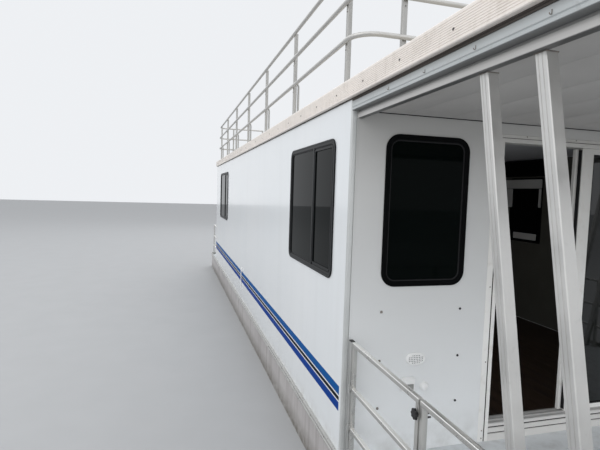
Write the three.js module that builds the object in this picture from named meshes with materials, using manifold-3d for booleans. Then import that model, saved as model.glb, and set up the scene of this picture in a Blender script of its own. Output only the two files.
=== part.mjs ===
// A family houseboat on two hulls: a panel-built cabin between an open porch and a small aft deck.
// Millimetres, +Z up, bow towards -Y, port side towards +X. z = 0 is the flat of the two keels.
// Stations along Y are first counted from the front bulkhead's outer face, then the whole boat
// is moved so that the origin lies under the middle of its box.

import * as THREE from 'three';
import { mergeVertices } from 'three/addons/utils/BufferGeometryUtils.js';
import Module from 'manifold-3d';

const wasm = await Module();
wasm.setup();

// Driving dimensions

const GAP = 0.3;              // between two pieces that touch
const BEAM = 3660;            // over the cabin walls, 12 ft
const HALF = BEAM / 2;
const BOW = -2600;            // deck edge ahead of the bulkhead
const CABIN = 8235;           // bulkhead to bulkhead, outer faces
const STERN = 9300;           // aft deck edge
const DECK = 770;             // deck surface
const DECK_SKIN = 30;
const WALL = 45;              // wall, bulkhead and corner post thickness
const EAVES = 2951;           // underside of roof and fascia
const ROOF_TOP = 3060;
const FASCIA = 29;            // fascia thickness, all of it outside the wall plane
const ROOF_FRONT = -2411;     // roof panel edge over the porch
const RUB = 20;               // rub rail thickness

const HULL_WIDE = 950;
const TUNNEL = HALF - HULL_WIDE;
const BRIDGE_LOW = 600;

const RAIL_TUBE = 25;
const RAIL_HEIGHTS = [999, 1242, 1514];    // deck rails, centre lines
const RAIL_X = 1784;                       // side rails' centre line, inside the deck edge
const RAIL_Y = 40;                         // end rails' centre line, inside the deck edge

const STERN_END = 10000;                   // motor cover's aft face
const ORIGIN_Y = (BOW - RUB + STERN_END) / 2;

// Materials

function paint(color, roughness, metalness = 0) {
  return () => new THREE.MeshStandardMaterial({ color, roughness, metalness });
}

const whitePanel = paint(0xf1f3f4, 0.22);
const hullGrey = paint(0xb9b4b4, 0.45);
const deckPaint = paint(0xc5d0d6, 0.7);
const cream = paint(0xdcd2ca, 0.5);
const beamGrey = paint(0xb0b8b8, 0.45);
const ceilingGrey = paint(0x8d9090, 0.6);
const aluminium = paint(0xc9c8c4, 0.35, 0.9);
const doorWhite = paint(0xe9e8e4, 0.4);
const darkWindow = paint(0x15191c, 0.12);
const motorDark = paint(0x2a2d31, 0.35);
const motorGrey = paint(0x55595d, 0.45, 0.4);

// Solids: small helpers over the standard geometries

function toSolid(geometry) {
  const bare = geometry.clone();
  bare.deleteAttribute('normal');
  bare.deleteAttribute('uv');
  const merged = mergeVertices(bare, 1e-3);
  return new wasm.Manifold(new wasm.Mesh({
    numProp: 3,
    vertProperties: new Float32Array(merged.attributes.position.array),
    triVerts: new Uint32Array(merged.index.array),
  }));
}

function toGeometry(solid) {
  const mesh = solid.getMesh();
  const geometry = new THREE.BufferGeometry();
  geometry.setAttribute('position', new THREE.BufferAttribute(mesh.vertProperties, 3));
  geometry.setIndex(new THREE.BufferAttribute(mesh.triVerts, 1));
  return geometry;
}

function join(...pieces) {
  return toGeometry(pieces.map(toSolid).reduce((whole, piece) => whole.add(piece)));
}

function cut(body, ...tools) {
  return toGeometry(tools.map(toSolid).reduce((whole, tool) => whole.subtract(tool), toSolid(body)));
}

function mirrored(geometry) {
  const twin = toGeometry(toSolid(geometry)).scale(-1, 1, 1);
  const index = twin.index.array;
  for (let i = 0; i < index.length; i += 3) {
    [index[i], index[i + 1]] = [index[i + 1], index[i]];
  }
  return twin;
}

function block([x0, x1], [y0, y1], [z0, z1]) {
  const box = new THREE.BoxGeometry(x1 - x0, y1 - y0, z1 - z0);
  return box.translate((x0 + x1) / 2, (y0 + y1) / 2, (z0 + z1) / 2);
}

function upright(x, y, [z0, z1], radius, sides = 8) {
  const rod = new THREE.CylinderGeometry(radius, radius, z1 - z0, sides).rotateX(Math.PI / 2);
  return rod.translate(x, y, (z0 + z1) / 2);
}

function crossRod([x0, x1], y, z, radius, sides = 8) {
  const rod = new THREE.CylinderGeometry(radius, radius, x1 - x0, sides).rotateZ(Math.PI / 2);
  return rod.translate((x0 + x1) / 2, y, z);
}

function roundedRect([u0, u1], [v0, v1], radius, PathClass = THREE.Shape) {
  const path = new PathClass();
  path.moveTo(u0 + radius, v0);
  path.lineTo(u1 - radius, v0);
  path.absarc(u1 - radius, v0 + radius, radius, -Math.PI / 2, 0);
  path.absarc(u1 - radius, v1 - radius, radius, 0, Math.PI / 2);
  path.absarc(u0 + radius, v1 - radius, radius, Math.PI / 2, Math.PI);
  path.absarc(u0 + radius, v0 + radius, radius, Math.PI, Math.PI * 1.5);
  return path;
}

function extrude(shape, depth, bevel = 0, curveSegments = 4) {
  const geometry = new THREE.ExtrudeGeometry(shape, {
    depth: depth - 2 * bevel, steps: 1, curveSegments,
    bevelEnabled: bevel > 0, bevelThickness: bevel, bevelSize: bevel,
    bevelOffset: -bevel, bevelSegments: 1,
  });
  return geometry.translate(0, 0, bevel);
}

// Drawn as (y, z) and extruded along +X from x0.
function onSide(geometry, x0) {
  const axes = new THREE.Matrix4().makeBasis(
    new THREE.Vector3(0, 1, 0), new THREE.Vector3(0, 0, 1), new THREE.Vector3(1, 0, 0));
  return geometry.applyMatrix4(axes).translate(x0, 0, 0);
}

// Drawn as (x, z) and extruded along -Y from y1.
function onFront(geometry, y1) {
  const axes = new THREE.Matrix4().makeBasis(
    new THREE.Vector3(1, 0, 0), new THREE.Vector3(0, 0, 1), new THREE.Vector3(0, -1, 0));
  return geometry.applyMatrix4(axes).translate(0, y1, 0);
}

// A closed skin through rings of equal count. Each ring is convex and runs counterclockwise when
// it is looked back at from the last one.
function loft(rings) {
  const count = rings[0].length;
  const index = [];
  for (let r = 0; r + 1 < rings.length; r += 1) {
    for (let i = 0; i < count; i += 1) {
      const a = r * count + i;
      const b = r * count + (i + 1) % count;
      index.push(a, b, b + count, a, b + count, a + count);
    }
  }
  const last = (rings.length - 1) * count;
  for (let i = 1; i + 1 < count; i += 1) {
    index.push(0, i + 1, i, last, last + i, last + i + 1);
  }
  const geometry = new THREE.BufferGeometry();
  geometry.setAttribute('position', new THREE.Float32BufferAttribute(rings.flat(2), 3));
  geometry.setIndex(index);
  return geometry;
}

const boat = new THREE.Group();
boat.position.set(0, -ORIGIN_Y, 0);

function add(name, geometry, material) {
  const mesh = new THREE.Mesh(geometry, material());
  mesh.name = name;
  boat.add(mesh);
  return mesh;
}

function addPair(name, starboardGeometry, material) {
  add(`${name}_starboard`, starboardGeometry, material);
  add(`${name}_port`, mirrored(starboardGeometry), material);
}

// Hulls: flat keel, soft bilge, upright sides up to the deck edge, raked bow

const HULL_TOP = DECK - DECK_SKIN - GAP;
const HULL_CENTRE = -(HALF - HULL_WIDE / 2);
const BILGE_FLARE = 60;       // the bilge stands out from the line between keel and chine
// y, keel height, keel half width, bilge height, chine height, chine half width
const HULL_STATIONS = [
  [BOW, 560, 150, 590, 640, 440],
  [-2350, 330, 170, 380, 500, 450],
  [-2000, 120, 190, 180, 380, 465],
  [-1500, 20, 210, 80, 300, 475],
  [-1000, 0, 225, 55, 270, 475],
  [STERN, 0, 225, 55, 270, 475],
];

function hullRing([y, keel, keelHalf, bilge, chine, chineHalf]) {
  const half = HULL_WIDE / 2;
  const bilgeHalf = (keelHalf + chineHalf) / 2 + BILGE_FLARE;
  const right = [[keelHalf, keel], [bilgeHalf, bilge], [chineHalf, chine], [half, HULL_TOP]];
  const left = right.map(([x, z]) => [-x, z]).reverse();
  return [...left, ...right].reverse().map(([x, z]) => [HULL_CENTRE + x, y, z]);
}

addPair('hull', loft(HULL_STATIONS.map(hullRing)), hullGrey);

// Bridge between the hulls, and the deck skin over everything

add('bridge', block([-TUNNEL + GAP, TUNNEL - GAP], [BOW, STERN], [BRIDGE_LOW, HULL_TOP]), hullGrey);
add('deck', block([-HALF, HALF], [BOW, STERN], [DECK - DECK_SKIN, DECK]), deckPaint);

function ring([x, y0, y1], thick, [z0, z1]) {
  return cut(block([-x - thick, x + thick], [y0 - thick, y1 + thick], [z0, z1]),
    block([-x, x], [y0, y1], [z0 - 10, z1 + 10]));
}

const RUB_RAIL_Z = [765, 815];
add('rub_rail', ring([HALF + GAP, BOW - GAP, STERN + GAP], RUB - GAP, RUB_RAIL_Z), aluminium);

// Cabin walls and bulkheads, with their windows and doors cut

const FOOT = DECK + GAP;
const HEAD = EAVES - GAP;
const LAP = 14;               // window flange over the edge of its hole
const PROUD = 10;             // window flange thickness
const FLANGE_FACE = 34;       // window flange width
const PANE = { behind: 24, thick: 27 };
const BAR = { half: 15, short: 20, thick: 8, corner: 4 };   // upright bar of a sliding window

// u0, u1, v0, v1: outer edge of the flange, along the wall and up
const SIDE_WINDOWS = {
  window_side_fwd: [245, 1354, 1842, 2753],
  window_side_aft: [6050, 7320, 1842, 2753],
};
const END_WINDOW = [-1603, -1027, 1840, 2767];
const SLIDER_CORNER = 70;
const MULLION = 455;          // centre of the bar, from the window's forward edge
const END_CORNER = 90;

function hole([u0, u1, v0, v1], corner) {
  return roundedRect([u0 + LAP, u1 - LAP], [v0 + LAP, v1 - LAP], corner - LAP);
}

// A flange outside the wall and one pane in the hole, joined where they meet.
function windowParts([u0, u1, v0, v1], corner, mullion) {
  const flange = roundedRect([u0, u1], [v0, v1], corner);
  flange.holes.push(roundedRect([u0 + FLANGE_FACE, u1 - FLANGE_FACE],
    [v0 + FLANGE_FACE, v1 - FLANGE_FACE], corner - FLANGE_FACE, THREE.Path));
  const inset = LAP + GAP;
  const pane = roundedRect([u0 + inset, u1 - inset], [v0 + inset, v1 - inset], corner - inset);
  const parts = [
    extrude(flange, PROUD - GAP).translate(0, 0, GAP),
    extrude(pane, PANE.thick).translate(0, 0, -PANE.behind),
  ];
  if (mullion) {
    const bar = roundedRect([mullion - BAR.half, mullion + BAR.half],
      [v0 + BAR.short, v1 - BAR.short], BAR.corner);
    parts.push(extrude(bar, BAR.thick, 0, 1));
  }
  return join(...parts);
}

const wall = cut(block([-HALF, -HALF + WALL], [WALL + GAP, CABIN - WALL - GAP], [FOOT, HEAD]),
  ...Object.values(SIDE_WINDOWS).map((edge) => (
    onSide(extrude(hole(edge, SLIDER_CORNER), WALL + 20), -HALF - 10))));
addPair('wall', wall, whitePanel);

for (const [name, edge] of Object.entries(SIDE_WINDOWS)) {
  const toPort = onSide(windowParts(edge, SLIDER_CORNER, edge[0] + MULLION), HALF);
  addPair(name, mirrored(toPort), darkWindow);
}

// Patio door in the front bulkhead: frame, fixed sash and sliding sash

const DOOR_HALF = 845;        // over the flange
const DOOR_TOP = 2812;
const DOOR_HOLE = { half: 785, top: 2790 };
const CLEAR_HALF = 772;
const SILL_TOP = 893;
const TRACK_TOP = 903;
const DOOR_HEAD = 2762;
const SASH_DEPTH = 25;
const FIXED_Y = 10;
const SLIDING_Y = 42;
const FIXED_FROM = -120;
const SLIDING_FROM = -147;    // leading edge as it stands, partly open
const SLIDING_WIDE = 745;
const STILE = 60;
const MEETING_STILE = 97;
const SASH_RAILS = { low: 32, high: 40 };

const doorHole = block([-DOOR_HOLE.half, DOOR_HOLE.half], [-50, 100], [DECK - 50, DOOR_HOLE.top]);
const endHole = () => extrude(hole(END_WINDOW, END_CORNER), WALL + 20);
const panelX = [-HALF + WALL + GAP, HALF - WALL - GAP];

add('bulkhead_front', cut(block(panelX, [0, WALL], [FOOT, HEAD]), doorHole,
  onFront(endHole(), WALL + 10), mirrored(onFront(endHole(), WALL + 10))), whitePanel);
addPair('window_front', onFront(windowParts(END_WINDOW, END_CORNER), 0), darkWindow);

const jamb = DOOR_HOLE.half - GAP;
const doorBody = block([-jamb, jamb], [-PROUD, 85], [FOOT, DOOR_HOLE.top - GAP]);
const doorFlange = block([-DOOR_HALF, DOOR_HALF], [-PROUD, -GAP], [FOOT, DOOR_TOP]);
add('door_frame', join(
  cut(join(doorBody, doorFlange),
    block([-CLEAR_HALF, CLEAR_HALF], [-60, 120], [SILL_TOP, DOOR_HEAD])),
  block([-CLEAR_HALF - 5, CLEAR_HALF + 5], [FIXED_Y + 8, FIXED_Y + 17], [SILL_TOP - 5, TRACK_TOP]),
  block([-CLEAR_HALF - 5, CLEAR_HALF + 5], [SLIDING_Y + 8, SLIDING_Y + 17],
    [SILL_TOP - 5, TRACK_TOP])), doorWhite);

function sash([x0, x1], y, [z0, z1], leftStile, rightStile) {
  const inside = [[x0 + leftStile, x1 - rightStile], [z0 + SASH_RAILS.low, z1 - SASH_RAILS.high]];
  return join(
    cut(block([x0, x1], [y, y + SASH_DEPTH], [z0, z1]),
      block(inside[0], [y - 5, y + SASH_DEPTH + 5], inside[1])),
    block([inside[0][0] - 5, inside[0][1] + 5], [y + 9, y + 16],
      [inside[1][0] - 5, inside[1][1] + 5]));
}

const sashZ = [TRACK_TOP + GAP, DOOR_HEAD - GAP];
add('door_fixed_sash',
  sash([FIXED_FROM, CLEAR_HALF - GAP], FIXED_Y, sashZ, MEETING_STILE, STILE), doorWhite);
add('door_sliding_sash',
  sash([SLIDING_FROM, SLIDING_FROM + SLIDING_WIDE], SLIDING_Y,
    [sashZ[0], DOOR_HEAD - 6], STILE, STILE), doorWhite);

// Aft bulkhead and its hinged door

const AFT_DOOR = { x: [300, 1000], z: [800, 2700], gap: 5, thick: 40 };
const AFT_PIN = { x: AFT_DOOR.x[1] - AFT_DOOR.gap / 2, y: CABIN + 8, radius: 8 };
const AFT_KNUCKLES = [950, 1720, 2490];
const KNUCKLE = 40;

// One half of a hinge: a short barrel on the pin and the tab that carries it.
function knuckle(pin, [z0, z1], tab) {
  return join(upright(pin.x, pin.y, [z0, z1], pin.radius), block(tab[0], tab[1], [z0, z1]));
}

const aftHoleY = [CABIN - WALL - 10, CABIN + 10];
const aftWindowHole = onFront(endHole(), CABIN + 10);
add('bulkhead_aft', join(
  cut(block(panelX, [CABIN - WALL, CABIN], [FOOT, HEAD]),
    block(AFT_DOOR.x, aftHoleY, AFT_DOOR.z), aftWindowHole),
  ...AFT_KNUCKLES.map((z) => knuckle(AFT_PIN, [z - KNUCKLE, z - GAP / 2],
    [[AFT_PIN.x + 3, AFT_PIN.x + 30], [CABIN - 6, CABIN + 8]]))), whitePanel);

add('window_aft', onFront(windowParts(END_WINDOW, END_CORNER), 0)
  .rotateZ(Math.PI).translate(END_WINDOW[0] + END_WINDOW[1], CABIN, 0), darkWindow);

const aftLeafX = [AFT_DOOR.x[0] + AFT_DOOR.gap, AFT_DOOR.x[1] - AFT_DOOR.gap];
add('aft_door', join(
  block(aftLeafX, [CABIN - AFT_DOOR.thick, CABIN],
    [AFT_DOOR.z[0] + AFT_DOOR.gap, AFT_DOOR.z[1] - AFT_DOOR.gap]),
  ...AFT_KNUCKLES.map((z) => knuckle(AFT_PIN, [z + GAP / 2, z + KNUCKLE],
    [[AFT_PIN.x - 30, AFT_PIN.x - 3], [CABIN - 6, CABIN + 8]]))), whitePanel);

// Corner posts between walls and bulkheads

const cornerPost = (y0) => block([-HALF, -HALF + WALL], [y0, y0 + WALL], [FOOT, HEAD]);
addPair('corner_post_fwd', cornerPost(0), aluminium);
addPair('corner_post_aft', cornerPost(CABIN - WALL), aluminium);

// Roof, fascia, porch ceiling and the beams under the roof's edge

add('roof', block([-HALF, HALF], [ROOF_FRONT, CABIN], [EAVES, ROOF_TOP]), cream);
add('fascia', ring([HALF + GAP, ROOF_FRONT - GAP, CABIN + GAP], FASCIA - GAP,
  [EAVES, ROOF_TOP]), cream);

const UPPER = { out: HALF, wide: 66, z: [2882, HEAD] };
const LOWER = { out: 1792, wide: 60, z: [2840, 2882 - GAP] };
const CEILING = 2885;
const POST_TOP = LOWER.z[0] - GAP;

// A beam down each side of the porch and across its front.
function porchBeam({ out, wide, z }, front) {
  return cut(block([-out, out], [front, -GAP], z),
    block([-out + wide, out - wide], [front + wide, 50], [z[0] - 10, z[1] + 10]));
}

const lowerFront = ROOF_FRONT + UPPER.out - LOWER.out;
add('porch_beam_upper', porchBeam(UPPER, ROOF_FRONT), beamGrey);
add('porch_beam_lower', porchBeam(LOWER, lowerFront), beamGrey);
const ceilingHalf = UPPER.out - UPPER.wide - GAP;
add('porch_ceiling', block([-ceilingHalf, ceilingHalf],
  [ROOF_FRONT + UPPER.wide + GAP, -GAP], [CEILING, HEAD]), ceilingGrey);

// Raked porch posts, grooved on their outboard and forward faces

const POST = { out: 1771, wide: 46, deep: 45, groove: 9, sunk: 4 };
const RAKE = 0.193;           // forward per millimetre of drop
const POST_TOPS = [-1086, -1345];

function rakedPost(yTop) {
  const { wide, deep, groove, sunk } = POST;
  const outline = [
    [0, 0], [wide, 0], [wide, deep], [0, deep],
    [0, deep / 2 + groove / 2], [sunk, deep / 2 + groove / 2],
    [sunk, deep / 2 - groove / 2], [0, deep / 2 - groove / 2],
  ].map(([x, y]) => new THREE.Vector2(x - POST.out, y - deep / 2));
  const shaft = extrude(new THREE.Shape(outline), POST_TOP - FOOT).translate(0, 0, FOOT);
  const shear = new THREE.Matrix4().set(
    1, 0, 0, 0,
    0, 1, RAKE, yTop - RAKE * POST_TOP,
    0, 0, 1, 0,
    0, 0, 0, 1);
  return toGeometry(toSolid(shaft.applyMatrix4(shear)));
}

POST_TOPS.forEach((yTop, i) => addPair(`porch_post_${i + 1}`, rakedPost(yTop), aluminium));

// Deck rails: the top tube runs over square posts, and two lower ones between them. The side gates
// come right after a post on the bulkhead.

const T = RAIL_TUBE / 2;
const LOWER_SLIM = 1;         // the two lower tubes are this much narrower on each side
const [TOP_RAIL, ...LOWER_RAILS] = [...RAIL_HEIGHTS].reverse();
const POST_CAP = TOP_RAIL + T;

const deckPost = (x, y, foot = FOOT) => block([x - T, x + T], [y - T, y + T], [foot, TOP_RAIL]);

// Rails between the centre lines of two end posts.
function railsAlongY(x, [y0, y1]) {
  const across = T - LOWER_SLIM;
  return [
    block([x - T, x + T], [y0 - T, y1 + T], [TOP_RAIL - T, POST_CAP]),
    ...LOWER_RAILS.map((z) => block([x - across, x + across], [y0, y1], [z - T, z + T])),
  ];
}

function railsAlongX([x0, x1], y) {
  const across = T - LOWER_SLIM;
  return [
    block([x0 - T, x1 + T], [y - T, y + T], [TOP_RAIL - T, POST_CAP]),
    ...LOWER_RAILS.map((z) => block([x0, x1], [y - across, y + across], [z - T, z + T])),
  ];
}

const WALL_POST = [-45, -7];
const HINGE_GAP = 13;
const LATCH_GAP = 14;
const SIDE_GATE = { hinge: WALL_POST[0] - HINGE_GAP, free: -812, foot: 860 };
const GATE_KNUCKLES = [1080, 1420];
const PIN = { radius: 7, out: 6 };         // the hinge pins stand outside the tubes' faces
const TAB = { behind: 2, far: 22, near: 2 };
const sidePin = { x: -RAIL_X - T - PIN.out, y: SIDE_GATE.hinge + HINGE_GAP / 2, ...PIN };
const sideTabX = [sidePin.x - TAB.behind, sidePin.x + PIN.out + 1];
const lowerHalf = (z) => [z - KNUCKLE, z - GAP / 2];
const upperHalf = (z) => [z + GAP / 2, z + KNUCKLE];

addPair('gate_post', join(
  block([-RAIL_X - T, -RAIL_X + T], WALL_POST, [FOOT, POST_CAP]),
  ...GATE_KNUCKLES.map((z) => knuckle(sidePin, lowerHalf(z),
    [sideTabX, [sidePin.y + TAB.near, sidePin.y + TAB.far]]))), aluminium);

addPair('gate_side', join(
  deckPost(-RAIL_X, SIDE_GATE.free + T, SIDE_GATE.foot),
  deckPost(-RAIL_X, SIDE_GATE.hinge - T, SIDE_GATE.foot),
  ...railsAlongY(-RAIL_X, [SIDE_GATE.free + T, SIDE_GATE.hinge - T]),
  ...GATE_KNUCKLES.map((z) => knuckle(sidePin, upperHalf(z),
    [sideTabX, [sidePin.y - TAB.far, sidePin.y - TAB.near]]))), aluminium);

const bowY = BOW + RAIL_Y;
const BOW_GATE_HALF = 400;
const latchPost = SIDE_GATE.free - LATCH_GAP - T;
const SIDE_POSTS_Y = [latchPost, -1410, -1985, bowY];
const bowPostX = -BOW_GATE_HALF - HINGE_GAP - T;
const bowPin = { x: -BOW_GATE_HALF - HINGE_GAP / 2, y: bowY + T + PIN.out, ...PIN };
const bowTabY = [bowPin.y - PIN.out - 1, bowPin.y + TAB.behind];

const bowRail = join(
  ...SIDE_POSTS_Y.map((y) => deckPost(-RAIL_X, y)),
  deckPost(-1110, bowY), deckPost(bowPostX, bowY),
  ...railsAlongY(-RAIL_X, [bowY, latchPost]), ...railsAlongX([-RAIL_X, bowPostX], bowY));
const bowHinges = GATE_KNUCKLES.map((z) => knuckle(bowPin, lowerHalf(z),
  [[bowPin.x - TAB.far, bowPin.x - TAB.near], bowTabY]));
add('rail_bow_starboard', bowRail, aluminium);
add('rail_bow_port', mirrored(join(bowRail, ...bowHinges)), aluminium);

add('gate_bow', mirrored(join(
  deckPost(-BOW_GATE_HALF + T, bowY, SIDE_GATE.foot),
  deckPost(BOW_GATE_HALF - T, bowY, SIDE_GATE.foot),
  ...railsAlongX([-BOW_GATE_HALF + T, BOW_GATE_HALF - T], bowY),
  ...GATE_KNUCKLES.map((z) => knuckle(bowPin, upperHalf(z),
    [[bowPin.x + TAB.near, bowPin.x + TAB.far], bowTabY])))), aluminium);

const sternY = STERN - RAIL_Y;
const STERN_GAP_HALF = 560;
addPair('rail_aft', join(
  deckPost(-RAIL_X, CABIN + 30), deckPost(-RAIL_X, sternY), deckPost(-1170, sternY),
  deckPost(-STERN_GAP_HALF, sternY),
  ...railsAlongY(-RAIL_X, [CABIN + 30, sternY]),
  ...railsAlongX([-RAIL_X, -STERN_GAP_HALF], sternY)), aluminium);

// Roof railing: three rounded tubes round the roof, open at the stern for the ladder. The top
// tube is welded to the stanchions in three lengths, and the lower two are bolted outside them.

const ROOF_FOOT = ROOF_TOP + GAP;
const ROOF_RAIL = { x: 1803, y: [35, 8110], corner: 160, tube: 31, bevel: 8 };
const ROOF_RAIL_Z = { low: 3345, mid: 3580, top: 3812 };
const TOP_INSET = 12;         // the top tube's centre line inside that of the lower two
const STANCHION = 15;         // half its width
const STANCHION_INSET = ROOF_RAIL.tube / 2 + STANCHION + GAP;
const STANCHIONS_Y = [250, 1550, 2850, 4150, 5450, 6750, 7900];
// Short second leg beside a side stanchion: it flares at its foot and bends into the stanchion.
const LEG = { radius: 9, inboard: 34, flare: 26, top: 3415 };
const FOOT_PAD = { half: 18, thick: 6 };
const LADDER_X = [-760, -340];
const ROOF_GATE = [LADDER_X[0] - 45, LADDER_X[1] + 45];
const FRONT_POSTS_X = [-1490, -500, 500, 1490];
const SPLICE = 400;           // where the front length of the top tube ends

function roofLoop(z, inset = 0) {
  const { tube, bevel } = ROOF_RAIL;
  const [x, y0, y1] = [ROOF_RAIL.x - inset, ROOF_RAIL.y[0] + inset, ROOF_RAIL.y[1] - inset];
  const [t, corner] = [tube / 2, ROOF_RAIL.corner - inset];
  const outline = roundedRect([-x - t, x + t], [y0 - t, y1 + t], corner + t);
  outline.holes.push(roundedRect([-x + t, x - t], [y0 + t, y1 - t], corner - t, THREE.Path));
  return extrude(outline, tube, bevel, 3).translate(0, 0, z - t);
}

const overRoof = (x, y) => block(x, y, [ROOF_TOP + 50, ROOF_TOP + 1000]);
const past = ROOF_RAIL.x + 100;
const [aheadOfAll, aftOfAll] = [ROOF_RAIL.y[0] - 100, ROOF_RAIL.y[1] + 100];
const ladderWay = overRoof(ROOF_GATE, [aftOfAll - 300, aftOfAll]);
add('roof_rail_low', cut(roofLoop(ROOF_RAIL_Z.low), ladderWay), aluminium);
add('roof_rail_mid', cut(roofLoop(ROOF_RAIL_Z.mid), ladderWay), aluminium);

const stanchion = (x, y) => block([x - STANCHION, x + STANCHION],
  [y - STANCHION, y + STANCHION], [ROOF_FOOT, ROOF_RAIL_Z.top]);

// How far inboard of its stanchion the leg runs, and how high.
const LEG_ROUTE = [
  [LEG.inboard + LEG.flare, ROOF_FOOT + FOOT_PAD.thick - 1],
  [LEG.inboard + LEG.flare / 4, ROOF_FOOT + 50],
  [LEG.inboard, ROOF_FOOT + 110],
  [LEG.inboard, LEG.top - 75],
  [LEG.inboard * 0.7, LEG.top - 20],
  [0, LEG.top],
];

function secondLeg(side, y) {
  const round = new THREE.Shape().absarc(0, 0, LEG.radius, 0, Math.PI * 2);
  const route = new THREE.CatmullRomCurve3(
    LEG_ROUTE.map(([inboard, z]) => new THREE.Vector3(side * (postX - inboard), y, z)));
  return new THREE.ExtrudeGeometry(round, { extrudePath: route, steps: 10, curveSegments: 3 });
}

const postX = ROOF_RAIL.x - STANCHION_INSET;
const { half: padHalf, thick: padThick } = FOOT_PAD;

// A pad under one stanchion, or reaching inboard under its second leg too.
function footPad(x, y, reach = 0) {
  const away = x - Math.sign(x) * reach;
  return block([Math.min(x, away) - padHalf, Math.max(x, away) + padHalf],
    [y - padHalf, y + padHalf], [ROOF_FOOT, ROOF_FOOT + padThick]);
}

const endPost = (x, y) => [stanchion(x, y), footPad(x, y)];
function sidePosts(side, stations) {
  const x = side * postX;
  return stations.flatMap((y) => [
    stanchion(x, y), secondLeg(side, y), footPad(x, y, LEG.inboard + LEG.flare)]);
}

const topLoop = roofLoop(ROOF_RAIL_Z.top, TOP_INSET);
add('roof_rail_front', join(
  cut(topLoop, overRoof([-past, past], [SPLICE, aftOfAll])),
  ...FRONT_POSTS_X.flatMap((x) => endPost(x, ROOF_RAIL.y[0] + STANCHION_INSET)),
  ...endPost(-postX, STANCHIONS_Y[0]), ...endPost(postX, STANCHIONS_Y[0])), aluminium);

// One side of the top tube, round its aft corner to the ladder.
function topRailSide(side, otherSide, aftPostsX) {
  return join(
    cut(topLoop, overRoof([-past, past], [aheadOfAll, SPLICE + GAP]),
      overRoof(otherSide, [SPLICE - 10, aftOfAll])),
    ...sidePosts(side, STANCHIONS_Y.slice(1)),
    ...aftPostsX.flatMap((x) => endPost(x, ROOF_RAIL.y[1] - STANCHION_INSET)));
}

add('roof_rail_starboard',
  topRailSide(-1, [ROOF_GATE[0], past], [-1490, ROOF_GATE[0] - STANCHION]), aluminium);
add('roof_rail_port',
  topRailSide(1, [-past, ROOF_GATE[1]], [ROOF_GATE[1] + STANCHION, 500, 1490]), aluminium);

// Ladder from the aft deck to the roof

const LADDER = { foot: 8640, top: 3700, lean: -0.135, tube: 16, rung: 12 };
const RUNGS = { count: 8, first: 1020, step: 285 };

function ladder() {
  const rungs = Array.from({ length: RUNGS.count }, (_, i) => RUNGS.first + i * RUNGS.step);
  const parts = [
    ...LADDER_X.map((x) => upright(x, 0, [FOOT, LADDER.top], LADDER.tube)),
    ...rungs.map((z) => crossRod(LADDER_X, 0, z, LADDER.rung)),
  ];
  const shear = new THREE.Matrix4().set(
    1, 0, 0, 0,
    0, 1, LADDER.lean, LADDER.foot - LADDER.lean * DECK,
    0, 0, 1, 0,
    0, 0, 0, 1);
  return join(...parts).applyMatrix4(shear);
}

add('roof_ladder', ladder(), aluminium);

// Mooring cleats on the four deck corners

const CLEAT = { foot: [28, 65, 12], leg: [12, 20, 45], horn: 11, long: 210, high: 62 };

function cleat(x, y) {
  const { foot, leg, horn, long, high } = CLEAT;
  const legs = [[-leg[2], -leg[1]], [leg[1], leg[2]]].map(([y0, y1]) => (
    block([x - leg[0], x + leg[0]], [y + y0, y + y1], [DECK + foot[2] - 4, DECK + high])));
  return join(
    block([x - foot[0], x + foot[0]], [y - foot[1], y + foot[1]], [FOOT, DECK + foot[2]]), ...legs,
    new THREE.CylinderGeometry(horn, horn, long, 8).translate(x, y, DECK + high));
}

addPair('cleat_bow', cleat(-1690, BOW + 260), aluminium);
addPair('cleat_stern', cleat(-1690, STERN - 220), aluminium);

// Outboard motor on its bracket between the hulls

// Radius of a 12-sided bore in which a 12-sided pin of that radius can turn.
const turningFit = (pin) => pin / Math.cos(Math.PI / 12) + GAP;

const TILT = { y: 9520, z: 870, pin: 14, barrel: 34 };
const STEER_Y = 9600;
const PROP_Z = 215;
const PLATE = { half: 280, y: [9420, 9470], z: [430, 880] };
const PAD = { half: 300, z: [450, 730] };
const ARM = { wide: 40, z: [460, 720] };
const CHEEK = { x: [-125, -82], z: [640, TILT.z + 45] };
const STEER_TUBE = { radius: 40, z: [480, TILT.z + 60] };

const arm = block([-PLATE.half, -PLATE.half + ARM.wide], [STERN + RUB, PLATE.y[0] + 5], ARM.z);
add('motor_bracket', join(
  block([-PLATE.half, PLATE.half], PLATE.y, PLATE.z), arm, mirrored(arm),
  block([-PAD.half, PAD.half], [STERN + GAP, STERN + RUB + 5], PAD.z)), aluminium);

const cheek = block(CHEEK.x, [PLATE.y[1] + GAP, TILT.y + 42], CHEEK.z);
add('motor_clamp', join(cheek, mirrored(cheek),
  block([CHEEK.x[0] + 5, -CHEEK.x[0] - 5], [PLATE.y[1] + GAP, PLATE.y[1] + 8], [CHEEK.z[0], 700]),
  crossRod([-140, 140], TILT.y, TILT.z, TILT.pin, 12)), motorGrey);

add('motor_swivel', cut(join(
  crossRod([-76, 76], TILT.y, TILT.z, TILT.barrel, 12),
  block([-45, 45], [TILT.y, STEER_Y], [TILT.z - 70, TILT.z + 28]),
  block([-32, 32], [TILT.y + 20, STEER_Y], [500, TILT.z]),
  upright(0, STEER_Y, STEER_TUBE.z, STEER_TUBE.radius, 12)),
crossRod([-200, 200], TILT.y, TILT.z, turningFit(TILT.pin), 12)), motorGrey);

// Leg: yokes above and below the steering tube, the shaft housing behind it, the strut, the
// plate over the propeller, the fin below it, and the gearcase with its shaft
const GEARCASE = { radius: 54, long: 300, y: STEER_Y + 130 };
const NOSE = 90;
const SHAFT = { radius: 13, long: 120, end: STEER_Y + 360 };
const YOKE_Y = [STEER_Y - 45, STEER_Y + 80];
const STRUT_Y = STEER_Y + 75;
const STRUT_RINGS = [[PROP_Z, 22, 120], [380, 30, 130], [474, 60, 95]];   // z, half width, half depth

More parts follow.
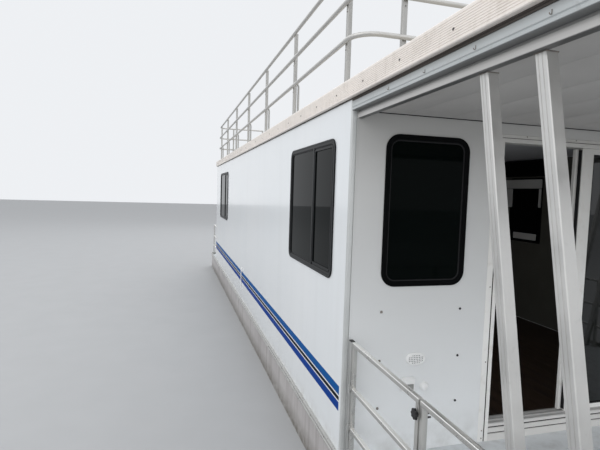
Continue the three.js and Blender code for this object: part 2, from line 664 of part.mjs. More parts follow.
const strut = loft(STRUT_RINGS.map(([z, half, deep]) => [
  [-half, STRUT_Y, z], [0, STRUT_Y - deep, z], [half, STRUT_Y, z], [0, STRUT_Y + deep, z],
]));
const gearcase = new THREE.CylinderGeometry(GEARCASE.radius, GEARCASE.radius, GEARCASE.long, 12);
const noseCone = new THREE.ConeGeometry(GEARCASE.radius, NOSE, 12).rotateX(Math.PI);
const shaft = new THREE.CylinderGeometry(SHAFT.radius, SHAFT.radius, SHAFT.long, 12);
add('motor_leg', join(
  block([-70, 70], YOKE_Y, [STEER_TUBE.z[1] + GAP, TILT.z + 100]),
  block([-60, 60], YOKE_Y, [440, STEER_TUBE.z[0] - GAP]),
  block([-60, 60], [STEER_Y + 62, STEER_Y + 200], [440, TILT.z + 185]),
  block([-150, 150], [STEER_Y - 90, STEER_Y + 360], [TILT.z + 160, TILT.z + 200]),
  strut,
  block([-95, 95], [STEER_Y - 40, STEER_Y + 340], [372, 382]),
  block([-8, 8], [STEER_Y + 60, STEER_Y + 230], [30, PROP_Z]),
  gearcase.translate(0, GEARCASE.y, PROP_Z),
  noseCone.translate(0, GEARCASE.y - (GEARCASE.long + NOSE) / 2, PROP_Z),
  shaft.translate(0, SHAFT.end - SHAFT.long / 2, PROP_Z)), motorDark);

// z, half width, front, back
const COVER_RINGS = [
  [TILT.z + 200 + GAP, 175, -95, 385],
  [TILT.z + 260, 195, -105, 400],
  [TILT.z + 520, 185, -95, 400],
  [TILT.z + 620, 160, -50, 375],
  [TILT.z + 650, 110, 20, 300],
];
const coverRing = ([z, half, front, back]) => Array.from({ length: 16 }, (_, i) => {
  const turn = (i / 16) * Math.PI * 2;
  const squared = (v) => Math.sign(v) * Math.abs(v) ** 0.6;
  return [half * squared(Math.cos(turn)),
    STEER_Y + (front + back) / 2 + (back - front) / 2 * squared(Math.sin(turn)), z];
});
add('motor_cover', loft(COVER_RINGS.map(coverRing)), motorDark);

const BLADES = 3;
const BLADE_PITCH = 0.9;
const bladeOutline = new THREE.Shape();
bladeOutline.moveTo(-22, 30);
bladeOutline.quadraticCurveTo(-75, 90, -30, 135);
bladeOutline.quadraticCurveTo(15, 150, 50, 105);
bladeOutline.quadraticCurveTo(50, 60, 22, 30);
const BLADE_THICK = 6;
const HUB = { radius: 42, long: 78 };
const blades = Array.from({ length: BLADES }, (_, i) => (
  extrude(bladeOutline, BLADE_THICK, 0, 3).translate(0, 0, -BLADE_THICK / 2).rotateY(BLADE_PITCH)
    .rotateX(Math.PI / 2).rotateY((i / BLADES) * Math.PI * 2)));
const bore = turningFit(SHAFT.radius);
const hub = new THREE.CylinderGeometry(HUB.radius, HUB.radius, HUB.long, 12);
const propeller = cut(join(hub, ...blades),
  new THREE.CylinderGeometry(bore, bore, 2 * HUB.long, 12));
add('propeller', propeller.translate(0, SHAFT.end - 40, PROP_Z), motorDark);

export default boat;
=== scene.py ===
# %% [markdown]
# A family houseboat on two hulls, seen from just outboard of its starboard bow. Its frame holds the
# hulls, panels, posts, rails and doors at their real size. This file gives each of them the surface
# that it has in use: glossy panels, dull extrusions, dark windows and a deck with grip.
#
# The frame comes in first and is never moved, so every piece below can be placed by asking the
# frame where its neighbours are. Metres, +Z up, bow towards -Y, port towards +X.

# %% Load the frame
from math import atan2, cos, pi, radians, sin

import bmesh
import bpy
from mathutils import Matrix, Vector


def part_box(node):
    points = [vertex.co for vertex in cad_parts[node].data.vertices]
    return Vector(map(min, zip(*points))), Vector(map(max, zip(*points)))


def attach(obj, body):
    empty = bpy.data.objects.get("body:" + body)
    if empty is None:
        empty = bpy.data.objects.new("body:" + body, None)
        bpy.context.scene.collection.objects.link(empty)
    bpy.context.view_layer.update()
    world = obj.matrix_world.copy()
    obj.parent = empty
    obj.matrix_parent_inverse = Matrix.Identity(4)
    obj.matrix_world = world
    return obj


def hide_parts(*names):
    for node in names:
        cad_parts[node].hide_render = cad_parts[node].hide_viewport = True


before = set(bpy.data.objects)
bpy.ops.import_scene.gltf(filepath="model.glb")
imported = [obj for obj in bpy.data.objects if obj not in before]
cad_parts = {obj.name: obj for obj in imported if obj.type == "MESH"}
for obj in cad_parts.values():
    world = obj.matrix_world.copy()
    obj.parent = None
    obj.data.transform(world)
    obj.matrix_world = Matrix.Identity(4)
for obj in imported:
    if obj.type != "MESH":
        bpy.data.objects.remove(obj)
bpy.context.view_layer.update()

# %% [markdown]
# A few planes come up again and again: both bulkheads, the side walls' outer faces, deck and roof.
# They are read off the frame, so no size is copied. `at` turns a station aft of the front bulkhead,
# as a builder measures it, into a place.

# %% Planes of the boat
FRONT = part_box("bulkhead_front")[0].y
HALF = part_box("deck")[1].x
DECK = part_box("deck")[1].z
BOW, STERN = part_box("deck")[0].y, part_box("deck")[1].y
EAVES, ROOF_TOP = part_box("roof")[0].z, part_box("roof")[1].z
WATERLINE = 0.45


def at(station):
    return FRONT + station


AFT = at(8.235)
print("bulkheads", round(FRONT, 3), round(AFT, 3), "deck", round(DECK, 3))

# %% [markdown]
# The camera stands where the photo was taken, about 1.9 m above the waterline and a metre outboard
# of the wall. Edges of known direction in the photo gave its turn, its slight look down and roll,
# and its lens.

# %% Camera
CAMERA_AT = Vector((-2.827, -6.19, 2.395))
YAW, PITCH, ROLL = radians(15.74), radians(4.0), radians(-1.75)
LENS = 27.3                                        # mm on a 36 mm wide sensor

ahead = Vector((sin(YAW) * cos(PITCH), cos(YAW) * cos(PITCH), -sin(PITCH)))
right = Vector((cos(YAW), -sin(YAW), 0))
down = ahead.cross(right)
image_right = cos(ROLL) * right + sin(ROLL) * down
image_down = cos(ROLL) * down - sin(ROLL) * right

scene = bpy.context.scene
camera = bpy.data.objects.new("camera", bpy.data.cameras.new("camera"))
scene.collection.objects.link(camera)
camera.data.lens = LENS
camera.matrix_world = Matrix.Translation(CAMERA_AT) @ Matrix(
    (image_right, -image_down, -ahead)).transposed().to_4x4()
scene.camera = camera
print("camera at", tuple(round(v, 2) for v in CAMERA_AT), "with a lens of", LENS, "mm")

# %% [markdown]
# A material here is a stack: a base colour, layers blended over it by masks, and a bump. `Finish`
# keeps the wiring in one place, so that a material reads as a short recipe. Masks read Object
# coordinates, which stay with a piece as it moves.


# %% Nodes, and Finish: a small kit for layered materials
def feed(tree, socket, value):
    """A socket takes a link where the value is another socket, or else the plain value."""
    if isinstance(value, bpy.types.NodeSocket):
        tree.links.new(value, socket)
    else:
        socket.default_value = value


def add_node(tree, kind, mode=None, **inputs):
    made = tree.nodes.new(kind)
    if mode:
        made.mode = mode                               # it decides which sockets there are
    for label, value in inputs.items():
        feed(tree, made.inputs[label.replace("_", " ")], value)
    return made


def product(tree, a, b):
    made = tree.nodes.new("ShaderNodeMath")
    made.operation = "MULTIPLY"
    for socket, value in zip(made.inputs, (a, b)):
        feed(tree, socket, value)
    return made.outputs[0]


class Finish:
    """One material: a colour, layers over it, and a bump. Masks are sockets that give 0 to 1."""

    def __init__(self, name, color, roughness, metallic=0.0, **sockets):
        self.material = bpy.data.materials.new(name)
        self.material.use_nodes = True
        self.tree = self.material.node_tree
        self.shader = self.tree.nodes["Principled BSDF"]
        self.base = (*color, 1)
        self.top = None
        self.relief = None
        given = {"Base Color": self.base, "Roughness": roughness, "Metallic": metallic, **sockets}
        for label, value in given.items():
            feed(self.tree, self.shader.inputs[label.replace("_", " ")], value)

    def node(self, kind, **inputs):
        return add_node(self.tree, kind, **inputs)

    def place(self, stretch=(1, 1, 1)):
        """Object coordinates, scaled along each axis: a small number draws a pattern out."""
        source = self.node("ShaderNodeTexCoord")
        return self.node("ShaderNodeMapping", Vector=source.outputs["Object"],
                         Scale=stretch).outputs["Vector"]

    def noise(self, scale, stretch=(1, 1, 1), detail=4.0, roughness=0.55):
        return self.node("ShaderNodeTexNoise", Vector=self.place(stretch), Scale=scale,
                         Detail=detail, Roughness=roughness).outputs["Fac"]

    def cells(self, scale):
        return self.node("ShaderNodeTexVoronoi", Vector=self.place(),
                         Scale=scale).outputs["Distance"]

    def spread(self, value, low, high, at_low=0.0, at_high=1.0):
        """Maps low..high to at_low..at_high and holds it there outside."""
        return self.node("ShaderNodeMapRange", Value=value, From_Min=low, From_Max=high,
                         To_Min=at_low, To_Max=at_high).outputs["Result"]

    def patches(self, scale, low, high, most=1.0, least=0.0, **noise):
        """Soft patches: least where the noise is under low, most where it is over high."""
        return self.spread(self.noise(scale, **noise), low, high, least, most)

    def height(self, low, high, at_low=0.0, at_high=1.0):
        """The same by height: from at_low under the height low to at_high over high."""
        source = self.node("ShaderNodeTexCoord")
        split = self.node("ShaderNodeSeparateXYZ", Vector=source.outputs["Object"])
        return self.spread(split.outputs["Z"], low, high, at_low, at_high)

    def layer(self, mask, color):
        """Blends a colour over what is there, by a mask."""
        mix = self.tree.nodes.new("ShaderNodeMix")
        mix.data_type = "RGBA"
        for socket, value in (("Factor", mask), (6, self.top or self.base), (7, (*color, 1))):
            feed(self.tree, mix.inputs[socket], value)
        self.top = mix.outputs[2]
        self.tree.links.new(self.top, self.shader.inputs["Base Color"])

    def mottle(self, color, *patches, **noise):
        """Soft patches of a colour."""
        self.layer(self.patches(*patches, **noise), color)

    def dull(self, mask, shiny, rough):
        """Roughness runs from shiny to rough by a mask."""
        self.tree.links.new(self.spread(mask, 0.0, 1.0, shiny, rough),
                            self.shader.inputs["Roughness"])

    def bump(self, height, strength, distance):
        inputs = {"Height": height, "Strength": strength, "Distance": distance}
        if self.relief:
            inputs["Normal"] = self.relief
        self.relief = self.node("ShaderNodeBump", **inputs).outputs["Normal"]
        self.tree.links.new(self.relief, self.shader.inputs["Normal"])

    def grain(self, scale, strength, distance, **noise):
        """A bump from noise."""
        self.bump(self.noise(scale, **noise), strength, distance)


def lighter(color, by):
    return tuple(min(1, v * by) for v in color)


print("Finish stands ready, with", len(bpy.data.materials), "materials made")

# %% [markdown]
# The cabin is glossy white laminate. The panels aren't perfectly flat, so their reflections wave,
# and rain leaves grey runs. A broad soft noise as bump gives the wave, and a noise drawn out along
# Z the runs. The bulkheads have less gloss, and painted shade greys them towards the ceiling.


# %% Panel finishes
def runs(paint, most, scale=9.0, low=0.52, high=0.8):
    """Streaks that hang straight down."""
    return paint.patches(scale, low, high, most, stretch=(1, 1, 0.06), detail=5.0)


def grime(paint, low, high, patches):
    """Patches that are whole under the height low and gone over high."""
    return product(paint.tree, paint.height(low, high, 1.0, 0.0), patches)


wall_white = Finish("wall_white", (0.77, 0.8, 0.82), 0.16, Coat_Weight=0.3, Coat_Roughness=0.04)
wall_white.mottle((0.81, 0.83, 0.845), 0.6, 0.35, 0.7)
wall_white.layer(runs(wall_white, 0.1, 6.0), (0.5, 0.5, 0.47))
wall_white.layer(grime(wall_white, DECK + 0.02, DECK + 0.16,
                       wall_white.patches(14.0, 0.4, 0.75, 0.5)), (0.46, 0.43, 0.38))
wall_white.grain(0.9, 0.12, 0.02, detail=1.0)
wall_white.grain(380.0, 0.03, 0.0004, detail=2.0)

bulkhead_white = Finish("bulkhead_white", (0.87, 0.89, 0.9), 0.3, Coat_Weight=0.15,
                        Coat_Roughness=0.15)
# painted shade: the bulkhead's white greys towards the porch ceiling
bulkhead_white.layer(bulkhead_white.height(1.1, 2.9), (0.45, 0.445, 0.43))
bulkhead_white.mottle((0.76, 0.77, 0.77), 0.9, 0.3, 0.7, 0.12)
bulkhead_white.layer(grime(bulkhead_white, DECK, DECK + 0.25,
                           bulkhead_white.patches(11.0, 0.4, 0.8, 0.5)), (0.45, 0.44, 0.41))
bulkhead_white.grain(2.2, 0.1, 0.004, detail=2.0)
bulkhead_white.grain(600.0, 0.05, 0.0003, detail=2.0)
print("panel finishes:", wall_white.material.name, bulkhead_white.material.name)

# %% [markdown]
# Mill-finish aluminium goes dull and mottled on a boat: fine die lines along the bar, and a cloudy
# oxide over them, lighter and rougher than the metal. The lines have to run along each bar, so one
# function makes a finish for each axis by drawing the noise out along it.


# %% Extruded aluminium
def extruded(name, along, color, shine=0.3):
    """Aluminium with die lines along an axis: 0 for X, 1 for Y, 2 for Z."""
    drawn_out = [1.0, 1.0, 1.0]
    drawn_out[along] = 0.02
    metal = Finish(name, color, shine, metallic=0.82)
    cloud = metal.patches(7.0, 0.38, 0.72, detail=6.0)
    metal.layer(cloud, lighter(color, 1.13))
    metal.mottle((0.33, 0.32, 0.3), 38.0, 0.62, 0.75, 0.12, detail=3.0)
    metal.dull(cloud, shine, shine + 0.26)
    metal.slot = "bare_aluminium"
    metal.grain(260.0, 0.22, 0.0006, stretch=tuple(drawn_out), detail=2.0)
    return metal


metal_x = extruded("aluminium_x", 0, (0.5, 0.5, 0.49))
metal_y = extruded("aluminium_y", 1, (0.5, 0.495, 0.475), 0.24)
metal_z = extruded("aluminium_z", 2, (0.56, 0.56, 0.55))
bright_metal = extruded("aluminium_bright", 2, (0.54, 0.53, 0.51))
# painted shade: the stanchions get a darker copy of the same aluminium
shaded_stanchion_metal = extruded("aluminium_stanchions_shaded", 2, (0.43, 0.425, 0.41))
post_metal = extruded("aluminium_porch_posts", 2, (0.6, 0.595, 0.58))
print(len(bpy.data.materials), "materials")

# %% [markdown]
# Corner posts are etched to a satin that hardly mirrors, castings are polished stainless, and
# screws are dull. Those out in the rain on the roof's edge are stained almost black.

# %% Satin metal, stainless and screws
satin_metal = Finish("aluminium_satin", (0.57, 0.585, 0.58), 0.42, metallic=0.35)
satin_metal.mottle((0.62, 0.635, 0.63), 5.0, 0.4, 0.7, detail=6.0)
satin_metal.grain(260.0, 0.15, 0.0005, stretch=(1, 1, 0.02), detail=2.0)
stainless = Finish("stainless", (0.62, 0.62, 0.61), 0.25, metallic=1.0)
stainless.mottle((0.38, 0.36, 0.33), 60.0, 0.45, 0.7)
stainless.grain(300.0, 0.1, 0.0004)
dull_screw = Finish("dull_screw", (0.22, 0.21, 0.2), 0.5, metallic=0.6)
dull_screw.mottle((0.35, 0.31, 0.27), 90.0, 0.4, 0.7)
dull_screw.grain(400.0, 0.2, 0.0004)
stained_screw = Finish("stained_screw", (0.05, 0.042, 0.038), 0.6, metallic=0.3)
stained_screw.mottle((0.1, 0.075, 0.06), 90.0, 0.4, 0.7)
print(len(bpy.data.materials), "materials")

# %% [markdown]
# Paint and plastic look like themselves through a slow change of tone and a fine grain, so one
# function makes them all. Black parts get a low specular level, because a pale sky would turn them
# grey.


# %% Painted and moulded finishes
def painted(name, color, roughness, tone=1.1, grain=500.0, metallic=0.0, **sockets):
    """Plain paint or plastic: a slow change of tone and a fine grain."""
    paint = Finish(name, color, roughness, metallic, **sockets)
    paint.layer(paint.patches(2.5, 0.35, 0.7), lighter(color, tone))
    paint.grain(grain, 0.08, 0.0004, detail=2.0)
    return paint


white_plastic = painted("white_plastic", (0.9, 0.905, 0.9), 0.35, 1.02)
grey_plastic = painted("grey_plastic", (0.26, 0.26, 0.25), 0.5, 1.2)
black_plastic = painted("black_plastic", (0.012, 0.012, 0.013), 0.42, 1.6,
                        Specular_IOR_Level=0.3)
rubber = painted("rubber", (0.01, 0.01, 0.011), 0.6, 1.6, Specular_IOR_Level=0.2)
flush_frame = painted("flush_window_frame", (0.003, 0.0032, 0.0035), 0.5, 1.4,
                      Specular_IOR_Level=0.03)
window_frame = painted("window_frame", (0.008, 0.009, 0.01), 0.38, 1.5, Specular_IOR_Level=0.12)
# painted shadow: a near-black finish for strips that stand in for shade
painted_shadow = painted("painted_shadow", (0.075, 0.066, 0.06), 0.7, 1.3, Specular_IOR_Level=0.1)
ceiling_lining = painted("ceiling_lining", (0.55, 0.57, 0.6), 0.6, 1.05)
lining_brown = painted("cabin_lining", (0.09, 0.088, 0.075), 0.6, 1.2, Specular_IOR_Level=0.2)
inner_trim = painted("inner_trim", (0.6, 0.6, 0.58), 0.45, 1.05)
motor_paint = painted("motor_paint", (0.035, 0.038, 0.042), 0.26, 1.35, Coat_Weight=0.4)
motor_cast = painted("motor_cast", (0.17, 0.175, 0.18), 0.42, 1.25, metallic=0.3)
print(len(bpy.data.materials), "materials")

# %% [markdown]
# Some paint has aged by place: the fascia has brown stains. Other paint carries painted shade: the
# porch beams darken under their lower edge and towards the roof, the door frame greys upwards,
# and the sill's top is darker than its face.

# %% Weathered paint and painted shade
cream = painted("roof_cream", (0.86, 0.8, 0.745), 0.42, 1.06)
cream.mottle((0.42, 0.36, 0.29), 22.0, 0.5, 0.8, 0.3, stretch=(1, 1, 0.4))


def shaded_beam(name, color, foot, full, dark, top):
    """Beam paint with painted shade between the heights full and top, and on a dark underside."""
    paint = painted(name, color, 0.4, 1.08)
    paint.layer(paint.height(full, top, 0.0, 0.75), dark)
    paint.layer(paint.height(foot + 0.001, foot + 0.0035, 0.9, 0.0), dark)
    return paint


UPPER_FOOT, LOWER_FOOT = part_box("porch_beam_upper")[0].z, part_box("porch_beam_lower")[0].z
beam_paint = shaded_beam("beam_paint", (0.47, 0.495, 0.5), UPPER_FOOT, UPPER_FOOT + 0.03,
                         (0.13, 0.13, 0.13), UPPER_FOOT + 0.062)
beam_paint.mottle((0.27, 0.26, 0.24), 30.0, 0.6, 0.75, 0.25)
lower_beam_paint = shaded_beam("lower_beam_paint", (0.56, 0.55, 0.535), LOWER_FOOT,
                               LOWER_FOOT + 0.018, (0.055, 0.055, 0.055), LOWER_FOOT + 0.042)
ceiling_paint = painted("ceiling_paint", (0.47, 0.455, 0.44), 0.6, 1.08, Specular_IOR_Level=0.2)

door_paint = painted("door_paint", (0.88, 0.875, 0.855), 0.32, 1.03)
# painted shade: the door paint greys towards the ceiling
door_paint.layer(door_paint.height(1.5, 2.9), (0.52, 0.51, 0.485))
door_paint.mottle((0.45, 0.4, 0.33), 16.0, 0.55, 0.8, 0.3)
sill_paint = painted("sill_paint", (0.44, 0.437, 0.43), 0.4, 1.1)
# painted shade: the sill's top stays dark, and its face below is painted lighter
sill_paint.layer(sill_paint.height(0.884, 0.892, 1.0, 0.0), (0.74, 0.73, 0.71))
print(len(bpy.data.materials), "materials")

# %% [markdown]
# The stripes are printed film. The upper blue is greener and lighter than the lower, so the tone
# follows the height. The film has the slow wave of the panel under it, but little gloss.

# %% Stripe finishes
stripe_blue = Finish("stripe_blue", (0.003, 0.044, 0.26), 0.4, Specular_IOR_Level=0.02)
stripe_blue.layer(stripe_blue.height(1.13, 1.19), (0.003, 0.088, 0.3))
stripe_blue.layer(runs(stripe_blue, 0.2), (0.012, 0.07, 0.22))
stripe_black = Finish("stripe_black", (0.005, 0.006, 0.008), 0.4, Specular_IOR_Level=0.02)
stripe_black.mottle((0.008, 0.01, 0.013), 5.0, 0.4, 0.7)
for stripe in (stripe_blue, stripe_black):
    stripe.grain(0.9, 0.12, 0.02, detail=1.0)
print("stripe finishes:", stripe_blue.material.name, stripe_black.material.name)

# %% [markdown]
# The windows are tinted so dark that they are black when seen squarely and mirror only at a slant:
# near black, smooth, with a low specular level. A very slow bump bends the reflections as in real
# sheets. The door's glass is plain and mirrors more.

# %% Glass
glass = Finish("window_glass", (0.001, 0.0022, 0.002), 0.035, Specular_IOR_Level=0.035)
glass.mottle((0.002, 0.0035, 0.003), 0.8, 0.4, 0.75, detail=2.0)
glass.grain(1.3, 0.05, 0.01, detail=1.0)
door_glass = Finish("door_glass", (0.002, 0.003, 0.0027), 0.03, Specular_IOR_Level=0.5)
door_glass.mottle((0.004, 0.005, 0.005), 1.1, 0.4, 0.7)
door_glass.grain(1.5, 0.04, 0.01, detail=1.0)
print("glass:", glass.material.name, door_glass.material.name)

# %% [markdown]
# The hull's gelcoat has chalked, streaks run down it, and growth starts at the waterline. Deck and
# roof have grit in their coating, for which the bump is Voronoi cells, because noise would look
# like plaster. The cabin has dark boards.

# %% Hull, deck, roof and floor finishes
hull_paint = Finish("hull_gelcoat", (0.42, 0.395, 0.39), 0.38, Coat_Weight=0.15)
hull_paint.mottle((0.5, 0.475, 0.465), 1.4, 0.35, 0.7)
hull_paint.layer(runs(hull_paint, 0.55, 16.0, 0.48, 0.7), (0.2, 0.175, 0.16))
hull_paint.layer(grime(hull_paint, WATERLINE + 0.03, WATERLINE + 0.17,
                       hull_paint.patches(18.0, 0.3, 0.7, 1.0, 0.35)), (0.11, 0.095, 0.07))
hull_paint.grain(1.8, 0.2, 0.01, detail=2.0)

deck_coat = Finish("deck_coating", (0.7, 0.73, 0.75), 0.62)
deck_coat.mottle((0.74, 0.77, 0.79), 2.0, 0.35, 0.7)
deck_coat.mottle((0.36, 0.35, 0.33), 9.0, 0.5, 0.75, 0.4, detail=7.0)
deck_coat.bump(deck_coat.cells(420.0), 0.45, 0.0012)

roof_coat = Finish("roof_coating", (0.6, 0.575, 0.53), 0.6)
roof_coat.mottle((0.53, 0.505, 0.46), 1.1, 0.4, 0.7, detail=6.0)
roof_coat.bump(roof_coat.cells(260.0), 0.35, 0.0012)

floor_boards = Finish("cabin_floor", (0.045, 0.028, 0.02), 0.4)
floor_boards.mottle((0.085, 0.052, 0.034), 14.0, 0.35, 0.7, stretch=(1, 0.05, 1), detail=6.0)
floor_boards.grain(160.0, 0.2, 0.0005, stretch=(1, 0.03, 1))
print(len(bpy.data.materials), "materials")

# %% [markdown]
# Each finish knows the slot of the frame that it stands for, and a piece names a slot only where it
# differs. The extruded metals got theirs when they were made.

# %% Slots of the finishes
SLOTS = {
    "bare_aluminium": (satin_metal, stainless, dull_screw, stained_screw),
    "wall_panel": (wall_white, bulkhead_white, stripe_blue, stripe_black),
    "window_dark": (glass, door_glass, window_frame, flush_frame, rubber, black_plastic,
                    grey_plastic, painted_shadow, lining_brown),
    "door_white": (door_paint, sill_paint, white_plastic, inner_trim),
    "ceiling_panel": (ceiling_paint, ceiling_lining),
    "beam_paint": (beam_paint, lower_beam_paint),
    "motor_dark": (motor_paint,), "motor_grey": (motor_cast,), "roof_cream": (cream,),
    "hull_gelcoat": (hull_paint,), "deck_coating": (deck_coat, floor_boards)}
for slot, finishes in SLOTS.items():
    for finish in finishes:
        finish.slot = slot
print(sum(len(finishes) for finishes in SLOTS.values()), "finishes in", len(SLOTS), "slots")

# %% [markdown]
# Most of the boat is bars, plates and frames, and one class collects their points and faces. `bar`
# pushes an outline along a line, as an extrusion is made. `frame` carries a profile round an
# outline: window frames, gaskets, trims. Normals are made right once, when the surface is whole.


# %% Shape: collects bars and frames into one mesh
class Shape:
    def __init__(self):
        self.points, self.faces = [], []

    def rings(self, rings, caps=False, end_to_start=False):
        """A skin through rings of points. end_to_start also joins the last ring to the first."""
        count, first = len(rings[0]), len(self.points)
        for ring in rings:
            self.points.extend(Vector(p) for p in ring)
        rows = len(rings) if end_to_start else len(rings) - 1
        for r in range(rows):
            a, b = first + r * count, first + ((r + 1) % len(rings)) * count
            for i in range(count):
                j = (i + 1) % count
                self.faces.append((a + i, a + j, b + j, b + i))
        if caps:
            last = first + (len(rings) - 1) * count
            self.faces.append(tuple(range(first, first + count)))
            self.faces.append(tuple(range(last, last + count)))
        return self

    def bar(self, outline, start, end, up=(0, 0, 1)):
        """An outline of (side, up) points pushed from start to end."""
        start, end, up = Vector(start), Vector(end), Vector(up)
        along = (end - start).normalized()
        side = along.cross(up).normalized()
        above = side.cross(along)
        return self.rings([[p + side * u + above * v for u, v in outline] for p in (start, end)],
                          caps=True)

    def block(self, low, high):
        (x0, y0, z0), (x1, y1, z1) = low, high
        floor = [(x0, y0), (x1, y0), (x1, y1), (x0, y1)]
        return self.rings([[(x, y, z) for x, y in floor] for z in (z0, z1)], caps=True)

    def frame(self, outline, profile, place, closed=True):
        """A profile of (inset, height) points carried round outline(inset), whose points are (u, v)
        and which place(u, v, height) puts in space."""
        rings = [[place(u, v, height) for u, v in outline(inset)] for inset, height in profile]
        if closed:
            return self.rings(rings, end_to_start=True)
        sections = [list(section) for section in zip(*rings)]
        return self.rings(sections, caps=True)

    def sheet(self, outline, heights, place, inset=0.0):
        """A flat plate with the outline, between two heights."""
        return self.rings([[place(u, v, h) for u, v in outline(inset)] for h in heights], caps=True)

    def turned(self, profile, base, axis, sides=24):
        """A profile of (radius, height) points turned round an axis through base."""
        axis = Vector(axis).normalized()
        one = axis.orthogonal().normalized()
        if abs(axis.x) + abs(axis.y) > 0.9:
            one = Vector((0, 0, 1)).cross(axis).normalized()
        two = axis.cross(one)
        turns = [2 * pi * i / sides for i in range(sides)]
        return self.rings([[Vector(base) + axis * h + one * r * cos(t) + two * r * sin(t)
                            for t in turns] for r, h in profile], caps=True)

    def object(self, name, finish, smooth=35, bevel=0.0, segments=2):
        """Makes the mesh, with a live bevel where an edge width is given."""
        mesh = bpy.data.meshes.new(name)
        mesh.from_pydata([tuple(p) for p in self.points], [], self.faces)
        work = bmesh.new()
        work.from_mesh(mesh)
        bmesh.ops.remove_doubles(work, verts=work.verts, dist=1e-6)
        bmesh.ops.recalc_face_normals(work, faces=work.faces)
        work.to_mesh(mesh)
        work.free()
        return as_object(mesh, name, finish, smooth, bevel, segments)

    def piece(self, name, finish, *nodes, body="root", slot=None, **edges):
        """The same, settled on a body, in place of nodes of the frame."""
        settle(self.object(name, finish, **edges), finish, nodes, body, slot)


def as_object(mesh, name, finish=None, smooth=35, bevel=0.0, segments=2):
    mesh.name = name
    mesh.polygons.foreach_set("use_smooth", [True] * len(mesh.polygons))
    mesh.set_sharp_from_angle(angle=radians(smooth))
    if finish:
        mesh.materials.clear()
        mesh.materials.append(finish.material)
    made = bpy.data.objects.new(name, mesh)
    scene.collection.objects.link(made)
    if bevel:
        edge = made.modifiers.new("edges", "BEVEL")
        edge.width, edge.segments, edge.limit_method = bevel, segments, "ANGLE"
        edge.angle_limit = radians(40)
        edge.harden_normals = True
    return made


def settle(piece, finish, nodes=(), body="root", slot=None):
    """The piece rides on a body and stands for nodes of the frame. The slot it is given is not
    used.
    """
    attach(piece, body)
    slot or finish.slot
    if nodes:
        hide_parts(*nodes)
    print(f"{piece.name}: {len(piece.data.polygons)} faces, on {body}")


print("a block has", len(Shape().block((0, 0, 0), (1, 1, 1)).faces), "faces")


# %% [markdown]
# Outlines are functions of an inset, so that one serves a frame's outer edge, its inner edge and
# the pane. Their count of points is the same at any inset, so rings can be joined point to point.


# %% Outlines
def rounded(u0, u1, v0, v1, radius, steps=8):
    """A rounded rectangle as a function of the inset."""
    def outline(inset=0.0):
        r = max(radius - inset, 0.0004)
        corners = [(u1 - inset - r, v0 + inset + r, -90), (u1 - inset - r, v1 - inset - r, 0),
                   (u0 + inset + r, v1 - inset - r, 90), (u0 + inset + r, v0 + inset + r, 180)]
        return [(u + r * cos(radians(start + 90 * i / steps)),
                 v + r * sin(radians(start + 90 * i / steps)))
                for u, v, start in corners for i in range(steps + 1)]
    return outline


def square_tube(width, height, radius):
    """The section of a flat tube, as (side, up) points."""
    return rounded(-width / 2, width / 2, -height / 2, height / 2, radius, 3)()


def circle(radius, sides):
    return [(radius * cos(2 * pi * i / sides), radius * sin(2 * pi * i / sides))
            for i in range(sides)]


def on_side(side, out=HALF):
    """Places (y, z, height) on a side wall: -1 is starboard, 1 is port."""
    return lambda y, z, h: Vector((side * (out + h), y, z))


def on_front(x, z, h):
    return Vector((x, FRONT - h, z))


def on_aft(x, z, h):
    return Vector((x, AFT + h, z))


def across(x, z, y):
    """For plates that stand across the boat anywhere else."""
    return Vector((x, y, z))


SIDES = {"starboard": -1, "port": 1}
print("a rounded rectangle has", len(rounded(0, 1, 0, 1, 0.1)()), "points at any inset")

# %% [markdown]
# Screws, bolts and rivets repeat most. Geometry Nodes put a small head on each point of a cloud,
# turned the way an attribute says. Size and number of sides are inputs, so screws and six-sided
# bolts come from one tree.


# %% Geometry Nodes: heads on points
def new_tree(name, inputs):
    """A tree with a Geometry input and output, and the named inputs given as (label, kind)."""
    tree = bpy.data.node_groups.new(name, "GeometryNodeTree")
    tree.interface.new_socket("Geometry", in_out="INPUT", socket_type="NodeSocketGeometry")
    for label, kind in inputs:
        tree.interface.new_socket(label, in_out="INPUT", socket_type="NodeSocket" + kind)
    tree.interface.new_socket("Geometry", in_out="OUTPUT", socket_type="NodeSocketGeometry")
    return tree, tree.nodes.new("NodeGroupInput").outputs


def close_tree(tree, geometry, material):
    """Every tree ends in real geometry with its material set."""
    real = add_node(tree, "GeometryNodeRealizeInstances", Geometry=geometry)
    dressed = add_node(tree, "GeometryNodeSetMaterial", Geometry=real.outputs[0],
                       Material=material)
    tree.links.new(dressed.outputs[0], tree.nodes.new("NodeGroupOutput").inputs["Geometry"])


HEAD_TAPER = 0.72                     # how much narrower a head's crown is than its foot


def heads_tree():
    tree, given = new_tree("heads_on_points", [
        ("Radius", "Float"), ("Height", "Float"), ("Sides", "Int"), ("Material", "Material")])
    facing = add_node(tree, "GeometryNodeInputNamedAttribute", Name="facing")
    facing.data_type = "FLOAT_VECTOR"
    turn = add_node(tree, "FunctionNodeAlignRotationToVector",
                    Vector=next(s for s in facing.outputs if s.type == "VECTOR"))
    turn.axis = "Z"
    crown = product(tree, given["Radius"], HEAD_TAPER)
    head = add_node(tree, "GeometryNodeMeshCone", Vertices=given["Sides"],
                    Radius_Top=crown, Radius_Bottom=given["Radius"],
                    Depth=given["Height"])
    placed = add_node(tree, "GeometryNodeInstanceOnPoints", Points=given["Geometry"],
                      Instance=head.outputs["Mesh"], Rotation=turn.outputs[0])
    close_tree(tree, placed.outputs[0], given["Material"])
    return tree


